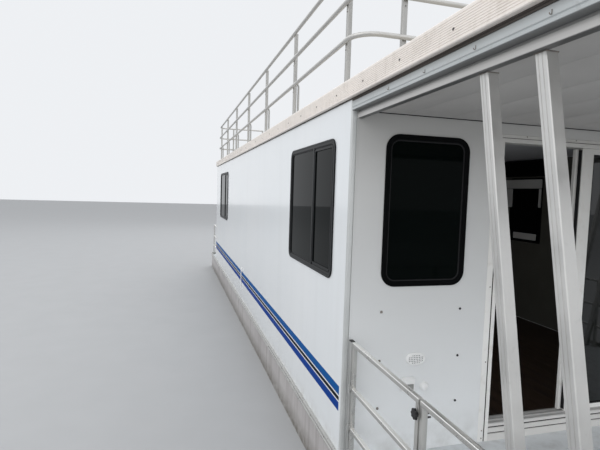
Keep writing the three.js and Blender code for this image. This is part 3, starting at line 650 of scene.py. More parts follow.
def grown(name, tree, source, finish, **inputs):
    """Runs a tree on a mesh and keeps the result as a plain mesh object."""
    holder = bpy.data.objects.new(name + "_source", source)
    scene.collection.objects.link(holder)
    modifier = holder.modifiers.new("nodes", "NODES")
    modifier.node_group = tree
    labels = {item.name: item.identifier for item in tree.interface.items_tree
              if item.in_out == "INPUT"}
    for label, value in {**inputs, "Material": finish.material}.items():
        modifier[labels[label.replace("_", " ")]] = value
    depsgraph = bpy.context.evaluated_depsgraph_get()
    mesh = bpy.data.meshes.new_from_object(holder.evaluated_get(depsgraph))
    bpy.data.objects.remove(holder)
    return as_object(mesh, name)


def point_cloud(name, spots):
    """A mesh of loose points, each with the direction that it faces."""
    mesh = bpy.data.meshes.new(name)
    mesh.from_pydata([tuple(place) for place, _ in spots], [], [])
    facing = mesh.attributes.new("facing", "FLOAT_VECTOR", "POINT")
    facing.data.foreach_set("vector", [v for _, way in spots for v in way])
    return mesh


HEADS = heads_tree()


def heads(name, spots, finish, radius, height, sides=10, slot=None):
    """Screw heads at spots, a list of (place, way it faces)."""
    made = grown(name, HEADS, point_cloud(name, spots), finish,
                 Radius=radius, Height=height, Sides=sides)
    settle(made, finish, slot=slot)


print(HEADS.name, "has", len(HEADS.nodes), "nodes")


# %% [markdown]
# Tubes along a path repeat too: roof rails, stanchions, ladder. A second tree turns loose edges
# into curves, rounds their corners by a bend radius and sweeps a rounded square along them, as a
# tube bender would. A corner radius of half the width makes the tube round.


# %% Geometry Nodes: bent tubes
def tubes_tree():
    tree, given = new_tree("bent_tubes", [
        ("Width", "Float"), ("Edge", "Float"), ("Bend", "Float"), ("Material", "Material")])
    path = add_node(tree, "GeometryNodeMeshToCurve", Mesh=given["Geometry"])
    bend = add_node(tree, "GeometryNodeFilletCurve", "POLY", Curve=path.outputs[0],
                    Radius=given["Bend"], Count=7, Limit_Radius=True)
    square = add_node(tree, "GeometryNodeCurvePrimitiveQuadrilateral",
                      Width=given["Width"], Height=given["Width"])
    section = add_node(tree, "GeometryNodeFilletCurve", "POLY", Curve=square.outputs[0],
                       Radius=given["Edge"], Count=3, Limit_Radius=True)
    tube = add_node(tree, "GeometryNodeCurveToMesh", Curve=bend.outputs[0],
                    Profile_Curve=section.outputs[0], Fill_Caps=True)
    close_tree(tree, tube.outputs[0], given["Material"])
    return tree


TUBES = tubes_tree()
ROUND = 0.999                         # corner radius of a round tube, in half widths


def tubes(name, paths, width, finish, *nodes, body="root", edge=None, bend=0.0001):
    """Tubes along open paths of points. A path whose last point is its first is a loop."""
    points, edges = [], []
    for path in paths:
        loop = Vector(path[0]) == Vector(path[-1])
        corners = path[:-1] if loop else path
        first = len(points)
        points.extend(tuple(p) for p in corners)
        edges.extend((first + i, first + i + 1) for i in range(len(corners) - 1))
        if loop:
            edges.append((first + len(corners) - 1, first))
    mesh = bpy.data.meshes.new(name)
    mesh.from_pydata(points, edges, [])
    made = grown(name, TUBES, mesh, finish, Width=width,
                 Edge=width / 2 * ROUND if edge is None else edge, Bend=bend)
    settle(made, finish, nodes, body)


print(TUBES.name, "has", len(TUBES.nodes), "nodes")


# %% [markdown]
# The hulls are moulded, with a flat keel, a soft bilge and a raked bow. The frame's have few faces,
# so a smoother pair replaces them. Cutting the corners of each section twice rounds it and keeps it
# inside the frame's hull. Sections are eased into each other, so the bow sweeps up in one curve.

# %% Hulls
HULL_LOW, HULL_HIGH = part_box("hull_starboard")
HULL_CENTRE, HULL_HALF = (HULL_LOW.x + HULL_HIGH.x) / 2, (HULL_HIGH.x - HULL_LOW.x) / 2
BILGE_FLARE = 0.06
# station, keel height, keel half width, bilge height, chine height, chine half width
HULL_STATIONS = [
    (-2.6, 0.56, 0.15, 0.59, 0.64, 0.44),
    (-2.35, 0.33, 0.17, 0.38, 0.5, 0.45),
    (-2.0, 0.12, 0.19, 0.18, 0.38, 0.465),
    (-1.5, 0.02, 0.21, 0.08, 0.3, 0.475),
    (-1.0, 0.0, 0.225, 0.055, 0.27, 0.475),
    (9.3, 0.0, 0.225, 0.055, 0.27, 0.475),
]


def eased(rows, steps):
    """Rows between the rows, on a curve through them."""
    padded = [rows[0], *rows, rows[-1]]
    result = []
    for p0, p1, p2, p3 in zip(padded, padded[1:], padded[2:], padded[3:]):
        for i in range(steps):
            t = i / steps
            result.append(tuple(
                0.5 * (2 * b + (c - a) * t + (2 * a - 5 * b + 4 * c - d) * t ** 2
                       + (3 * b - a - 3 * c + d) * t ** 3)
                for a, b, c, d in zip(p0, p1, p2, p3)))
    return result + [rows[-1]]


def corner_cut(points):
    """One round of corner cutting on an open line. Its ends stay."""
    result = [points[0]]
    for (x0, z0), (x1, z1) in zip(points, points[1:]):
        result += [(x0 * 0.75 + x1 * 0.25, z0 * 0.75 + z1 * 0.25),
                   (x0 * 0.25 + x1 * 0.75, z0 * 0.25 + z1 * 0.75)]
    return result + [points[-1]]


def hull_section(keel, keel_half, bilge, chine, chine_half):
    bilge_half = (keel_half + chine_half) / 2 + BILGE_FLARE
    half = [(0, keel), (keel_half, keel), (bilge_half, bilge), (chine_half, chine),
            (HULL_HALF, HULL_HIGH.z)]
    for _ in range(2):
        half = corner_cut(half)
    return [(-x, z) for x, z in reversed(half[1:])] + half


bow_rows = eased(HULL_STATIONS[:5], 6)
hull_rows = bow_rows + [HULL_STATIONS[-1]]
for side_name, side in SIDES.items():
    hull = Shape().rings([
        [(side * abs(HULL_CENTRE) + x, min(at(row[0]), HULL_HIGH.y), max(z, 0.0))
         for x, z in hull_section(*row[1:])]
        for row in hull_rows], caps=True)
    hull.piece(f"hull_{side_name}_skin", hull_paint, f"hull_{side_name}", smooth=50)

# %% [markdown]
# Deck, bridge, walls, bulkheads and roof already have their right shape in the frame. They keep
# their meshes and only get their finish.


# %% Finishes on the frame's own nodes
def dress(finish, *names):
    for name in names:
        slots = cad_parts[name].data.materials
        slots.clear()
        slots.append(finish.material)
    print(finish.material.name, "on", *names)


dress(hull_paint, "bridge")
dress(deck_coat, "deck")
dress(wall_white, "wall_starboard", "wall_port")
dress(bulkhead_white, "bulkhead_front", "bulkhead_aft")
dress(roof_coat, "roof")

# %% [markdown]
# Cross frames, floor boards, ceiling boards and rungs are rows of one part. A third tree copies a
# part a number of times along a step.


# %% Geometry Nodes: rows of copies
def rows_tree():
    tree, given = new_tree("row_of_copies", [
        ("Count", "Int"), ("Step", "Vector"), ("Material", "Material")])
    line = add_node(tree, "GeometryNodeMeshLine", Count=given["Count"], Offset=given["Step"])
    placed = add_node(tree, "GeometryNodeInstanceOnPoints", Points=line.outputs[0],
                      Instance=given["Geometry"])
    close_tree(tree, placed.outputs[0], given["Material"])
    return tree


ROWS = rows_tree()


def row(name, part, count, step, finish, *nodes):
    """Copies of a Shape, a step apart."""
    first = part.object(name + "_first", finish)
    mesh = first.data
    bpy.data.objects.remove(first)
    settle(grown(name, ROWS, mesh, finish, Count=count, Step=step), finish, nodes)


print(ROWS.name, "has", len(ROWS.nodes), "nodes")

# %% [markdown]
# Seven stiff boxes with cut corners tie the hulls together under the bridge, evenly spaced from bow
# to stern.


# %% Bridge frames
def chamfered(width, height, cut):
    """A rectangle's outline with cut corners."""
    w, h = width / 2, height / 2
    return [(-w + cut, -h), (w - cut, -h), (w, -h + cut), (w, h - cut),
            (w - cut, h), (-w + cut, h), (-w, h - cut), (-w, -h + cut)]


BRIDGE_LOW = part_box("bridge")[0]
FRAMES = 7
FRAME_DEEP, FRAME_WIDE = 0.07, 0.08
first_frame, last_frame = BOW + 0.3, STERN - 0.4
frame_z = BRIDGE_LOW.z - FRAME_DEEP / 2
beam = Shape().bar(chamfered(FRAME_WIDE, FRAME_DEEP, 0.012),
                   (BRIDGE_LOW.x, first_frame, frame_z), (-BRIDGE_LOW.x, first_frame, frame_z))
row("bridge_frames", beam, FRAMES, (0, (last_frame - first_frame) / (FRAMES - 1), 0), hull_paint)

# %% [markdown]
# A rub rail runs round the deck's edge: an aluminium moulding with a groove along its middle, swept
# as one profile of (inset, height). It is screwed on through the groove, so the heads stand a
# little behind its face.

# %% Rub rail
RUB_LOW, RUB_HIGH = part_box("rub_rail")
RUB_OUT = RUB_HIGH.x - HALF
RUB_INSIDE = 0.0003


def flat(u, v, h):
    return Vector((u, v, h))


rub_profile = [
    (-RUB_INSIDE, RUB_LOW.z), (-RUB_OUT + 0.004, RUB_LOW.z), (-RUB_OUT, RUB_LOW.z + 0.005),
    (-RUB_OUT, RUB_LOW.z + 0.016), (-RUB_OUT + 0.005, RUB_LOW.z + 0.02),
    (-RUB_OUT + 0.005, RUB_LOW.z + 0.03), (-RUB_OUT, RUB_LOW.z + 0.034),
    (-RUB_OUT, RUB_HIGH.z - 0.005), (-RUB_OUT + 0.004, RUB_HIGH.z), (-RUB_INSIDE, RUB_HIGH.z)]
rub = Shape().frame(rounded(-HALF, HALF, BOW, STERN, 0.003, 4), rub_profile, flat)
rub.piece("rub_rail_moulding", metal_y, "rub_rail")

RUB_SCREW_STEP = 0.3
rub_z = (RUB_LOW.z + RUB_HIGH.z) / 2
head_out = RUB_OUT - 0.004            # in the groove
along_sides = int((STERN - BOW) / RUB_SCREW_STEP)
side_spots = [((side * (HALF + head_out), BOW + RUB_SCREW_STEP * (i + 0.5), rub_z), (side, 0, 0))
              for side in SIDES.values() for i in range(along_sides)]
end_spots = [((x * RUB_SCREW_STEP, end, rub_z), (0, way, 0)) for x in range(-6, 7)
             for end, way in ((BOW - head_out, -1), (STERN + head_out, 1))]
heads("rub_rail_screws", side_spots + end_spots, dull_screw, 0.0045, 0.003)

# %% [markdown]
# Two broad blue bands of film run along the side walls with a black pinstripe between them. They
# stand half a millimetre proud, so that light catches their edges, and stop at the corner posts.

# %% Side stripes
WALL, FILM = 0.045, 0.0006            # thickness of the walls and of the film
STRIPES = {"upper_blue": (1.165, 1.219, stripe_blue), "pin": (1.129, 1.154, stripe_black),
           "lower_blue": (1.064, 1.119, stripe_blue)}
stripe_from, stripe_to = at(WALL - 0.005), at(8.19)
for side_name, side in SIDES.items():
    for name, (low, high, finish) in STRIPES.items():
        inner, outer = sorted((side * (HALF - FILM), side * (HALF + FILM)))
        strip = Shape().block((inner, stripe_from, low), (outer, stripe_to, high))
        strip.piece(f"stripe_{name}_{side_name}", finish, bevel=0.0002, segments=1)

# %% [markdown]
# The corners are extrusions with two flat faces, a rounded outer edge and a groove down each face
# where the panels are caught. One section is drawn, for the forward starboard corner, and signs
# turn it to the others.

# %% Corner posts
SPAN = EAVES - DECK - 0.0006
CORNERS = [(f"corner_post_{end_name}_{side_name}", side, end)
           for end_name, end in (("fwd", -1), ("aft", 1)) for side_name, side in SIDES.items()]


def corner_y(end):
    return FRONT if end < 0 else AFT


def corner_section(side, end):
    """Section of a corner post in plan. end is -1 at the bow, 1 at the stern."""
    groove_from, groove_to, sunk, round_off = WALL - 0.013, WALL - 0.017, 0.0025, 0.01
    face = [(groove_from, 0), (groove_from, sunk), (groove_to, sunk), (groove_to, 0)]
    arc = [(round_off * (1 - cos(radians(t))), round_off * (1 - sin(radians(t))))
           for t in (90, 60, 30, 0)]
    points = [(WALL, WALL), (WALL, 0), *face, *arc, *[(y, x) for x, y in reversed(face)],
              (0, WALL)]
    return [(side * (HALF - x), corner_y(end) - end * y) for x, y in points]


for node, side, end in CORNERS:
    post = Shape().rings([[(x, y, DECK + 0.0003 + h) for x, y in corner_section(side, end)]
                          for h in (0, SPAN)], caps=True)
    post.piece(node + "_extrusion", satin_metal, node)

# %% [markdown]
# The panels lap over the posts: the side wall almost to the edge, the bulkhead by a finger's width,
# with a line of sealant where it ends. Each lap is a thin strip in its panel's finish.

# %% Laps over the corner posts
FRONT_LAP, SEALANT = 0.011, 0.002


def upright_strip(name, finish, xs, ys):
    """A thin strip nearly as tall as the posts."""
    (x0, x1), (y0, y1) = sorted(xs), sorted(ys)
    strip = Shape().block((x0, y0, DECK + 0.002), (x1, y1, EAVES - 0.008))
    strip.piece(name, finish, bevel=0.0002, segments=1)


for node, side, end in CORNERS:
    inner, edge = side * (HALF - WALL + 0.0005), side * (HALF - WALL + FRONT_LAP)
    face_ys = (corner_y(end) + end * 0.0002, corner_y(end) + end * 0.0009)
    upright_strip(node + "_lap", bulkhead_white, (inner, edge), face_ys)
    upright_strip(node + "_seam", grey_plastic, (edge, edge + side * SEALANT), face_ys)
    upright_strip(node + "_side_lap", wall_white,
                  (side * (HALF - 0.0003), side * (HALF + 0.0004)),
                  (corner_y(end) - end * 0.0115, corner_y(end) - end * (WALL - 0.0005)))

# %% [markdown]
# All windows are built alike: a dark frame with a raised bead laps over the panel, with a rubber
# gasket, a pane nearly flush and a clamping ring on the cabin side. Each is a profile of (inset,
# height over the panel).

# %% Window profiles
FRAME_FACE, LAP = 0.034, 0.014
frame_profile = [
    (0, 0.0004), (0, 0.007), (0.0025, 0.0096), (0.0105, 0.0096), (0.0135, 0.0074),
    (0.029, 0.0074), (0.0335, 0.004), (FRAME_FACE, -0.02), (LAP + 0.0005, -0.02),
    (LAP + 0.0005, 0.0004)]
gasket_profile = [(0.033, -0.004), (0.033, 0.002), (0.04, 0.0012), (0.042, -0.004)]
trim_profile = [(-0.012, -WALL), (-0.012, -WALL - 0.003), (0.03, -WALL - 0.004),
                (0.034, -WALL + 0.02), (LAP + 0.001, -WALL + 0.02), (LAP + 0.001, -WALL)]
sash_profile = [(0, -0.004), (0, 0.0035), (0.003, 0.0055), (0.013, 0.0055), (0.016, 0.003),
                (0.016, -0.004)]
print("window frames", FRAME_FACE, "m wide,", max(h for _, h in frame_profile), "m proud")

# %% [markdown]
# The side windows slide, so they have an upright bar and a thin sash round the forward pane. Those
# in the bulkheads are fixed, with blacker frames and rounder corners.

# %% Windows
BAR_HALF, SASH_INSET = 0.015, 0.041


def window(node, edge, corner, place, finish, bar_at=None):
    """edge is (u0, u1, v0, v1) of the frame's outline, bar_at the u of the upright bar."""
    outline = rounded(*edge, corner, 10)
    u0, u1, v0, v1 = edge
    frame_shape = Shape().frame(outline, frame_profile, place)
    if bar_at is not None:
        bar = rounded(bar_at - BAR_HALF, bar_at + BAR_HALF, v0 + 0.022, v1 - 0.022, 0.003, 2)
        frame_shape.sheet(bar, (-0.012, 0.0045), place)
        frame_shape.sheet(bar, (0.0045, 0.0072), place, inset=0.002)
        if abs(bar_at - u0) < abs(bar_at - u1):
            pane_u = (u0 + SASH_INSET, bar_at - BAR_HALF)
        else:
            pane_u = (bar_at + BAR_HALF, u1 - SASH_INSET)
        pane = rounded(*pane_u, v0 + SASH_INSET, v1 - SASH_INSET, 0.03, 10)
        frame_shape.frame(pane, sash_profile, place)
    frame_shape.piece(node + "_frame", finish, node, smooth=30)
    gasket = Shape().frame(outline, gasket_profile, place)
    gasket.piece(node + "_gasket", rubber)
    pane = Shape().sheet(outline, (-0.01, -0.003), place, inset=0.031)
    pane.piece(node + "_glass", glass)
    trim = Shape().frame(outline, trim_profile, place)
    trim.piece(node + "_inner_trim", inner_trim)


SLIDER_CORNER, END_CORNER, BAR_FROM_FORE = 0.07, 0.09, 0.455
for node in sorted(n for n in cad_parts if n.startswith("window_side")):
    low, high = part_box(node)
    side = 1 if low.x > 0 else -1
    window(node, (low.y, high.y, low.z, high.z), SLIDER_CORNER, on_side(side), window_frame,
           bar_at=low.y + BAR_FROM_FORE)
for node, place in (("window_front_starboard", on_front), ("window_front_port", on_front),
                    ("window_aft", on_aft)):
    low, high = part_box(node)
    window(node, (low.x, high.x, low.z, high.z), END_CORNER, place, flush_frame)

# %% [markdown]
# The patio door's frame is off-white aluminium, with a flange screwed to the bulkhead and a step
# where the jamb begins. It is one profile carried round three sides. The flange is wider at the
# jambs than at the head, so the path stretches it.

# %% Patio door frame
DOOR_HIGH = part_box("door_frame")[1]
CLEAR, HEAD = 0.772, 2.762            # half width of the opening, and its top
JAMB_STEP, FLANGE = 0.026, 0.03      # raised strip next to the opening, flange beyond it
BACK = DOOR_HIGH.y - FRONT
DOOR_FOOT = DECK + 0.0004
flange_side, flange_head = DOOR_HIGH.x - CLEAR, DOOR_HIGH.z - HEAD


def jamb_path(inset):
    """Up one jamb, across the head and down the other, at an inset that is negative outward."""
    outward = max(-inset - JAMB_STEP, 0)
    x = CLEAR + min(-inset, JAMB_STEP) + outward * (flange_side - JAMB_STEP) / FLANGE
    z = HEAD + min(-inset, JAMB_STEP) + outward * (flange_head - JAMB_STEP) / FLANGE
    return [(-x, DOOR_FOOT), (-x, z), (x, z), (x, DOOR_FOOT)]


jamb_profile = [
    (0, -BACK), (0, 0.0085), (-0.002, 0.0098), (-JAMB_STEP + 0.002, 0.0098), (-JAMB_STEP, 0.008),
    (-JAMB_STEP, 0.0052), (-JAMB_STEP - 0.0015, 0.004), (-JAMB_STEP - 0.0285, 0.0034),
    (-JAMB_STEP - FLANGE, 0.002), (-JAMB_STEP - FLANGE, 0.0003), (-0.012, 0.0003),
    (-0.012, -BACK)]
jambs = Shape().frame(jamb_path, jamb_profile, on_front, closed=False)
jambs.piece("patio_door_frame", door_paint, "door_frame", smooth=30)

# %% [markdown]
# The sill is ribbed in front so that rain drains off, with two tracks on top. Its section is in
# (distance behind the bulkhead's face, height).

# %% Patio door sill
SILL_FACE, SILL_GROOVE, SILL_TOP = -0.0098, -0.0035, 0.893
TRACKS, TRACK_WIDE, TRACK_TOP = (0.018, 0.05), 0.009, 0.903
SILL_SECTION = [
    (SILL_FACE, DOOR_FOOT), (SILL_FACE, 0.819), (SILL_GROOVE, 0.82), (SILL_GROOVE, 0.826),
    (SILL_FACE, 0.828), (SILL_FACE, 0.858), (SILL_GROOVE, 0.86), (SILL_GROOVE, 0.868),
    (SILL_FACE, 0.87), (SILL_FACE, 0.89), (SILL_FACE + 0.003, SILL_TOP),
    *[(y, z) for track in TRACKS for y, z in (
        (track, SILL_TOP), (track, TRACK_TOP), (track + TRACK_WIDE, TRACK_TOP),
        (track + TRACK_WIDE, SILL_TOP))],
    (BACK - 0.0005, SILL_TOP), (BACK - 0.0005, DOOR_FOOT)]
sill = Shape().rings([[(x, FRONT + y, z) for y, z in SILL_SECTION] for x in (-CLEAR, CLEAR)],
                     caps=True)
sill.piece("patio_door_sill", sill_paint, smooth=30)

# %% [markdown]
# Dull screws hold the flange. Dark strips of painted shade lie in the step of the jambs and in the
# sill's two grooves.

# %% Patio door screws and painted shade strips
screw_x, screw_y = CLEAR + JAMB_STEP + 0.02, FRONT - 0.004
jamb_screws = [((side * screw_x, screw_y, z), (0, -1, 0))
               for side in SIDES.values() for z in (0.792, 0.845, 1.316, 1.82, 2.32, 2.76)]
head_screws = [((x, screw_y, HEAD + 0.044), (0, -1, 0)) for x in (-0.6, -0.2, 0.2, 0.6)]
heads("patio_door_screws", jamb_screws + head_screws, dull_screw, 0.005, 0.002)

# painted shade: dark strips in the jambs' step and the sill's grooves
door_shade_strips = Shape().frame(jamb_path, [
    (-JAMB_STEP + 0.0005, 0.0045), (-JAMB_STEP + 0.0005, 0.0062), (-JAMB_STEP - 0.0035, 0.0062),
    (-JAMB_STEP - 0.0035, 0.003)], on_front, closed=False)
for low, high in ((0.82, 0.826), (0.86, 0.868)):
    door_shade_strips.sheet(rounded(-CLEAR + 0.002, CLEAR - 0.002, low, high, 0.001, 2), (0.003, 0.0045),
                    on_front)
door_shade_strips.piece("patio_door_shade_strips", rubber)

# %% [markdown]
# Both halves of the door are four rails and stiles round a pane, with a black gasket on each face.
# A strip of rubber on the fixed half's free edge keeps the weather out.

# %% Door sashes
LOW_RAIL, HIGH_RAIL = 0.032, 0.04


def door_sash(node, body, left, right):
    """A sash with stiles of the given widths. Its outer sizes come from the frame."""
    low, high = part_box(node)
    inner_x, inner_z = (low.x + left, high.x - right), (low.z + LOW_RAIL, high.z - HIGH_RAIL)
    members = Shape()
    members.block((low.x, low.y, low.z), (low.x + left, high.y, high.z))
    members.block((high.x - right, low.y, low.z), (high.x, high.y, high.z))
    for z0, z1 in ((low.z, inner_z[0]), (inner_z[1], high.z)):
        members.block((inner_x[0] - 0.0002, low.y + 0.001, z0),
                      (inner_x[1] + 0.0002, high.y - 0.001, z1))
    members.piece(node + "_members", door_paint, node, bevel=0.0025, body=body)
    ring = rounded(*inner_x, *inner_z, 0.002, 2)
    for name, y in (("outside", low.y + 0.004), ("inside", high.y - 0.004)):
        way = -1 if name == "outside" else 1
        bead = Shape().frame(ring, [(0, 0), (0, 0.003), (0.006, 0.003), (0.009, 0)],
                             lambda u, v, h, y=y, way=way: Vector((u, y + way * h, v)))
        bead.piece(f"{node}_gasket_{name}", rubber, body=body)
    pane = Shape().sheet(ring, (low.y + 0.009, high.y - 0.009), across, inset=-0.004)
    pane.piece(node + "_glass", door_glass, body=body)
    return low, high


fixed_low, fixed_high = door_sash("door_fixed_sash", "root", 0.097, 0.06)
weather_strip = Shape().block((fixed_low.x - 0.0065, fixed_low.y + 0.006, fixed_low.z + 0.012),
                              (fixed_low.x - 0.0004, fixed_low.y + 0.029, fixed_high.z - 0.012))
weather_strip.piece("door_weather_strip", rubber, bevel=0.001)
slide_low, slide_high = door_sash("door_sliding_sash", "sliding_door", 0.06, 0.06)

# %% [markdown]
# The sliding half has a black brush along its leading edge, and a bent pull inside. They ride on
# its body.

# %% Brush and pull of the sliding sash
brush = Shape().block((slide_low.x + 0.052, slide_low.y - 0.004, slide_low.z + 0.02),
                      (slide_low.x + 0.059, slide_low.y + 0.001, slide_high.z - 0.02))
brush.piece("sliding_door_brush", black_plastic, bevel=0.001, body="sliding_door")
pull_x, pull_foot = slide_low.x + 0.03, slide_high.y - 0.001
pull_out = slide_high.y + 0.03
tubes("sliding_door_pull", [[(pull_x, pull_foot, 1.62), (pull_x, pull_out, 1.64),
                             (pull_x, pull_out, 1.8), (pull_x, pull_foot, 1.82)]],
      0.014, black_plastic, body="sliding_door", bend=0.02)

# %% [markdown]
# The aft door is a plain panel door whose leaf comes from the frame. It gets a screwed casing on
# the bulkhead, two raised mouldings, and a lever: a turned rose with a flat bar that points to the
# hinges.

# %% Aft door
LEAF_LOW, LEAF_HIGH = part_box("aft_door")
leaf_x = (LEAF_LOW.x, 0.995)
dress(bulkhead_white, "aft_door")


def casing_path(inset):
    left, right_edge = leaf_x[0] - 0.005 + inset, leaf_x[1] + 0.005 - inset
    top = LEAF_HIGH.z + 0.005 - inset
    return [(left, DECK + 0.001), (left, top), (right_edge, top), (right_edge, DECK + 0.001)]


casing = Shape().frame(casing_path, [
    (-0.002, 0.0003), (-0.002, 0.004), (-0.004, 0.006), (-0.04, 0.006), (-0.042, 0.004),
    (-0.042, 0.0003)], on_aft, closed=False)
casing.piece("aft_door_casing", door_paint)
for name, (z0, z1) in {"upper": (1.8, 2.58), "lower": (0.92, 1.62)}.items():
    ring = rounded(leaf_x[0] + 0.11, leaf_x[1] - 0.11, z0, z1, 0.03, 6)
    moulding = Shape().frame(ring, [(0, 0.0002), (0.004, 0.004), (0.016, 0.004), (0.02, 0.0002)],
                             on_aft)
    moulding.piece(f"aft_door_{name}_moulding", bulkhead_white, body="aft_door")

LEVER_X, LEVER_Z = leaf_x[0] + 0.055, 1.7
lever = Shape().turned([(0.026, 0), (0.026, 0.004), (0.022, 0.006), (0.01, 0.007), (0.01, 0.04),
                        (0.008, 0.042)], (LEVER_X, AFT, LEVER_Z), (0, 1, 0))
lever.bar(rounded(-0.006, 0.006, -0.01, 0.01, 0.005, 4)(),
          (LEVER_X - 0.012, AFT + 0.034, LEVER_Z), (LEVER_X + 0.105, AFT + 0.034, LEVER_Z))
lever.piece("aft_door_lever", stainless, bevel=0.001, body="aft_door")

# %% [markdown]
# The roof's edge is a cream fascia with ribs, swept round the roof as one profile, so that the ribs
# stay sharp at any distance. A dark strip under it is painted shade.

# %% Fascia and the painted shade under it
FASCIA_LOW, FASCIA_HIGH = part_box("fascia")
FASCIA = FASCIA_HIGH.x - HALF
RIBS = 9
rib_step = (FASCIA_HIGH.z - FASCIA_LOW.z - 0.024) / RIBS
face = []
for i in range(RIBS):
    z = FASCIA_LOW.z + 0.012 + i * rib_step
    face += [(-FASCIA + 0.0005, z), (-FASCIA + 0.0028, z + 0.0016),
             (-FASCIA + 0.0028, z + 0.0032), (-FASCIA + 0.0005, z + 0.0048)]
fascia_profile = [
    (-0.0004, FASCIA_LOW.z + 0.0005), (-FASCIA + 0.004, FASCIA_LOW.z + 0.0005),
    (-FASCIA + 0.0005, FASCIA_LOW.z + 0.004), *face, (-FASCIA + 0.0005, FASCIA_HIGH.z - 0.006),
    (-FASCIA + 0.006, FASCIA_HIGH.z - 0.0003), (-0.0004, FASCIA_HIGH.z - 0.0003)]
roof_edge = rounded(-HALF, HALF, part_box("roof")[0].y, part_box("roof")[1].y, 0.004, 3)
fascia = Shape().frame(roof_edge, fascia_profile, flat)
fascia.piece("fascia_ribbed", cream, "fascia", smooth=25)
# painted shade: a dark strip under the fascia
fascia_shade = Shape().frame(roof_edge, [
    (0.0, EAVES - 0.0005), (-0.006, EAVES - 0.0005), (-0.005, EAVES - 0.004),
    (-0.002, EAVES - 0.006), (0.0, EAVES - 0.006)], flat)
fascia_shade.piece("fascia_shade_strip", painted_shadow)

# %% [markdown]
# The fascia is screwed on every 16 inches. These screws stand in the rain and are stained dark.

# %% Fascia screws
SCREW_STEP, SCREWS_A_SIDE, SCREW_Z = 0.406, 26, 3.002
HEAD_SUNK = 0.003
first_screw = at(-1.02 - 3 * SCREW_STEP)
fascia_face = HALF + FASCIA - HEAD_SUNK
side_rows = [((side * fascia_face, first_screw + SCREW_STEP * i, SCREW_Z), (side, 0, 0))
             for side in SIDES.values() for i in range(SCREWS_A_SIDE)]
end_rows = [((x * SCREW_STEP, end, SCREW_Z), (0, way, 0)) for x in range(-4, 5)
            for end, way in ((FASCIA_LOW.y + HEAD_SUNK, -1), (FASCIA_HIGH.y - HEAD_SUNK, 1))]
heads("fascia_screws", side_rows + end_rows, stained_screw, 0.0078, 0.003)

# %% [markdown]
# The porch has an upper beam, flush with the fascia's back, and a lower one set in by its width.
# Both are profiles along an open path: down one side, across the front, back up the other. The
# upper has a bead near its foot. The lower is an angle, and only its outer leg comes down to the
# posts.

# %% Porch beams
UPPER_LOW, UPPER_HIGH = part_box("porch_beam_upper")
LOWER_LOW, LOWER_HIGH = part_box("porch_beam_lower")


def porch_path(out, front):
    """Round the porch from bulkhead to bulkhead, as a function of the inset."""
    back = FRONT - 0.0004
    return lambda inset: [(-out + inset, back), (-out + inset, front + inset),
                          (out - inset, front + inset), (out - inset, back)]


UPPER_WIDE, LOWER_WIDE = 0.066, 0.06
upper_profile = [
    (0.003, UPPER_LOW.z), (0.0, UPPER_LOW.z + 0.003), (0.0, UPPER_LOW.z + 0.01),
    (0.0035, UPPER_LOW.z + 0.013), (0.0035, UPPER_LOW.z + 0.017), (0.0, UPPER_LOW.z + 0.02),
    (0.0, UPPER_HIGH.z - 0.018), (0.003, UPPER_HIGH.z - 0.014), (0.003, UPPER_HIGH.z),
    (UPPER_WIDE, UPPER_HIGH.z), (UPPER_WIDE, UPPER_LOW.z + 0.003),
    (UPPER_WIDE - 0.003, UPPER_LOW.z)]
lower_profile = [
    (0.003, LOWER_LOW.z), (0.0, LOWER_LOW.z + 0.003), (0.0, LOWER_HIGH.z - 0.01),
    (0.003, LOWER_HIGH.z - 0.007), (0.003, LOWER_HIGH.z), (LOWER_WIDE, LOWER_HIGH.z),
    (LOWER_WIDE, LOWER_LOW.z + 0.03), (0.034, LOWER_LOW.z + 0.03),
    (0.034, LOWER_LOW.z + 0.003), (0.031, LOWER_LOW.z)]
upper = Shape().frame(porch_path(UPPER_HIGH.x, UPPER_LOW.y), upper_profile, flat, closed=False)
upper.piece("porch_beam_upper_profile", beam_paint, "porch_beam_upper", smooth=25)
lower = Shape().frame(porch_path(LOWER_HIGH.x, LOWER_LOW.y), lower_profile, flat, closed=False)
lower.piece("porch_beam_lower_profile", lower_beam_paint, "porch_beam_lower", smooth=25)

# %% [markdown]
# Small wire hooks for an awning hang on the upper beam at each side, and a dark strip of painted
# shade lies at the joint between that beam and the fascia.

# %% Awning hooks and the beam's painted shade
HOOK_STEP, HOOK_TOP, HOOK_FOOT, HOOK_TIP = 0.327, 2.919, 2.905, 2.91
hooks = []
for side in SIDES.values():
    near, away = side * (HALF + 0.001), side * (HALF + 0.009)
    for y in [at(-1.444 + HOOK_STEP * i) for i in range(-2, 4)]:
        hooks.append([(near, y, HOOK_TOP), (near, y, HOOK_FOOT), (away, y, HOOK_FOOT),
                      (away, y, HOOK_TIP)])
tubes("porch_beam_hooks", hooks, 0.003, dull_screw, bend=0.003)
# painted shade: a dark strip along the upper beam's top, under the fascia
under_eaves = Shape().frame(porch_path(UPPER_HIGH.x, UPPER_LOW.y), [
    (0.0032, UPPER_HIGH.z - 0.0145), (-0.0008, UPPER_HIGH.z - 0.0145),
    (-0.0008, UPPER_HIGH.z - 0.0065), (0.0032, UPPER_HIGH.z - 0.0065)], flat, closed=False)
under_eaves.piece("porch_beam_shade_strip", painted_shadow)
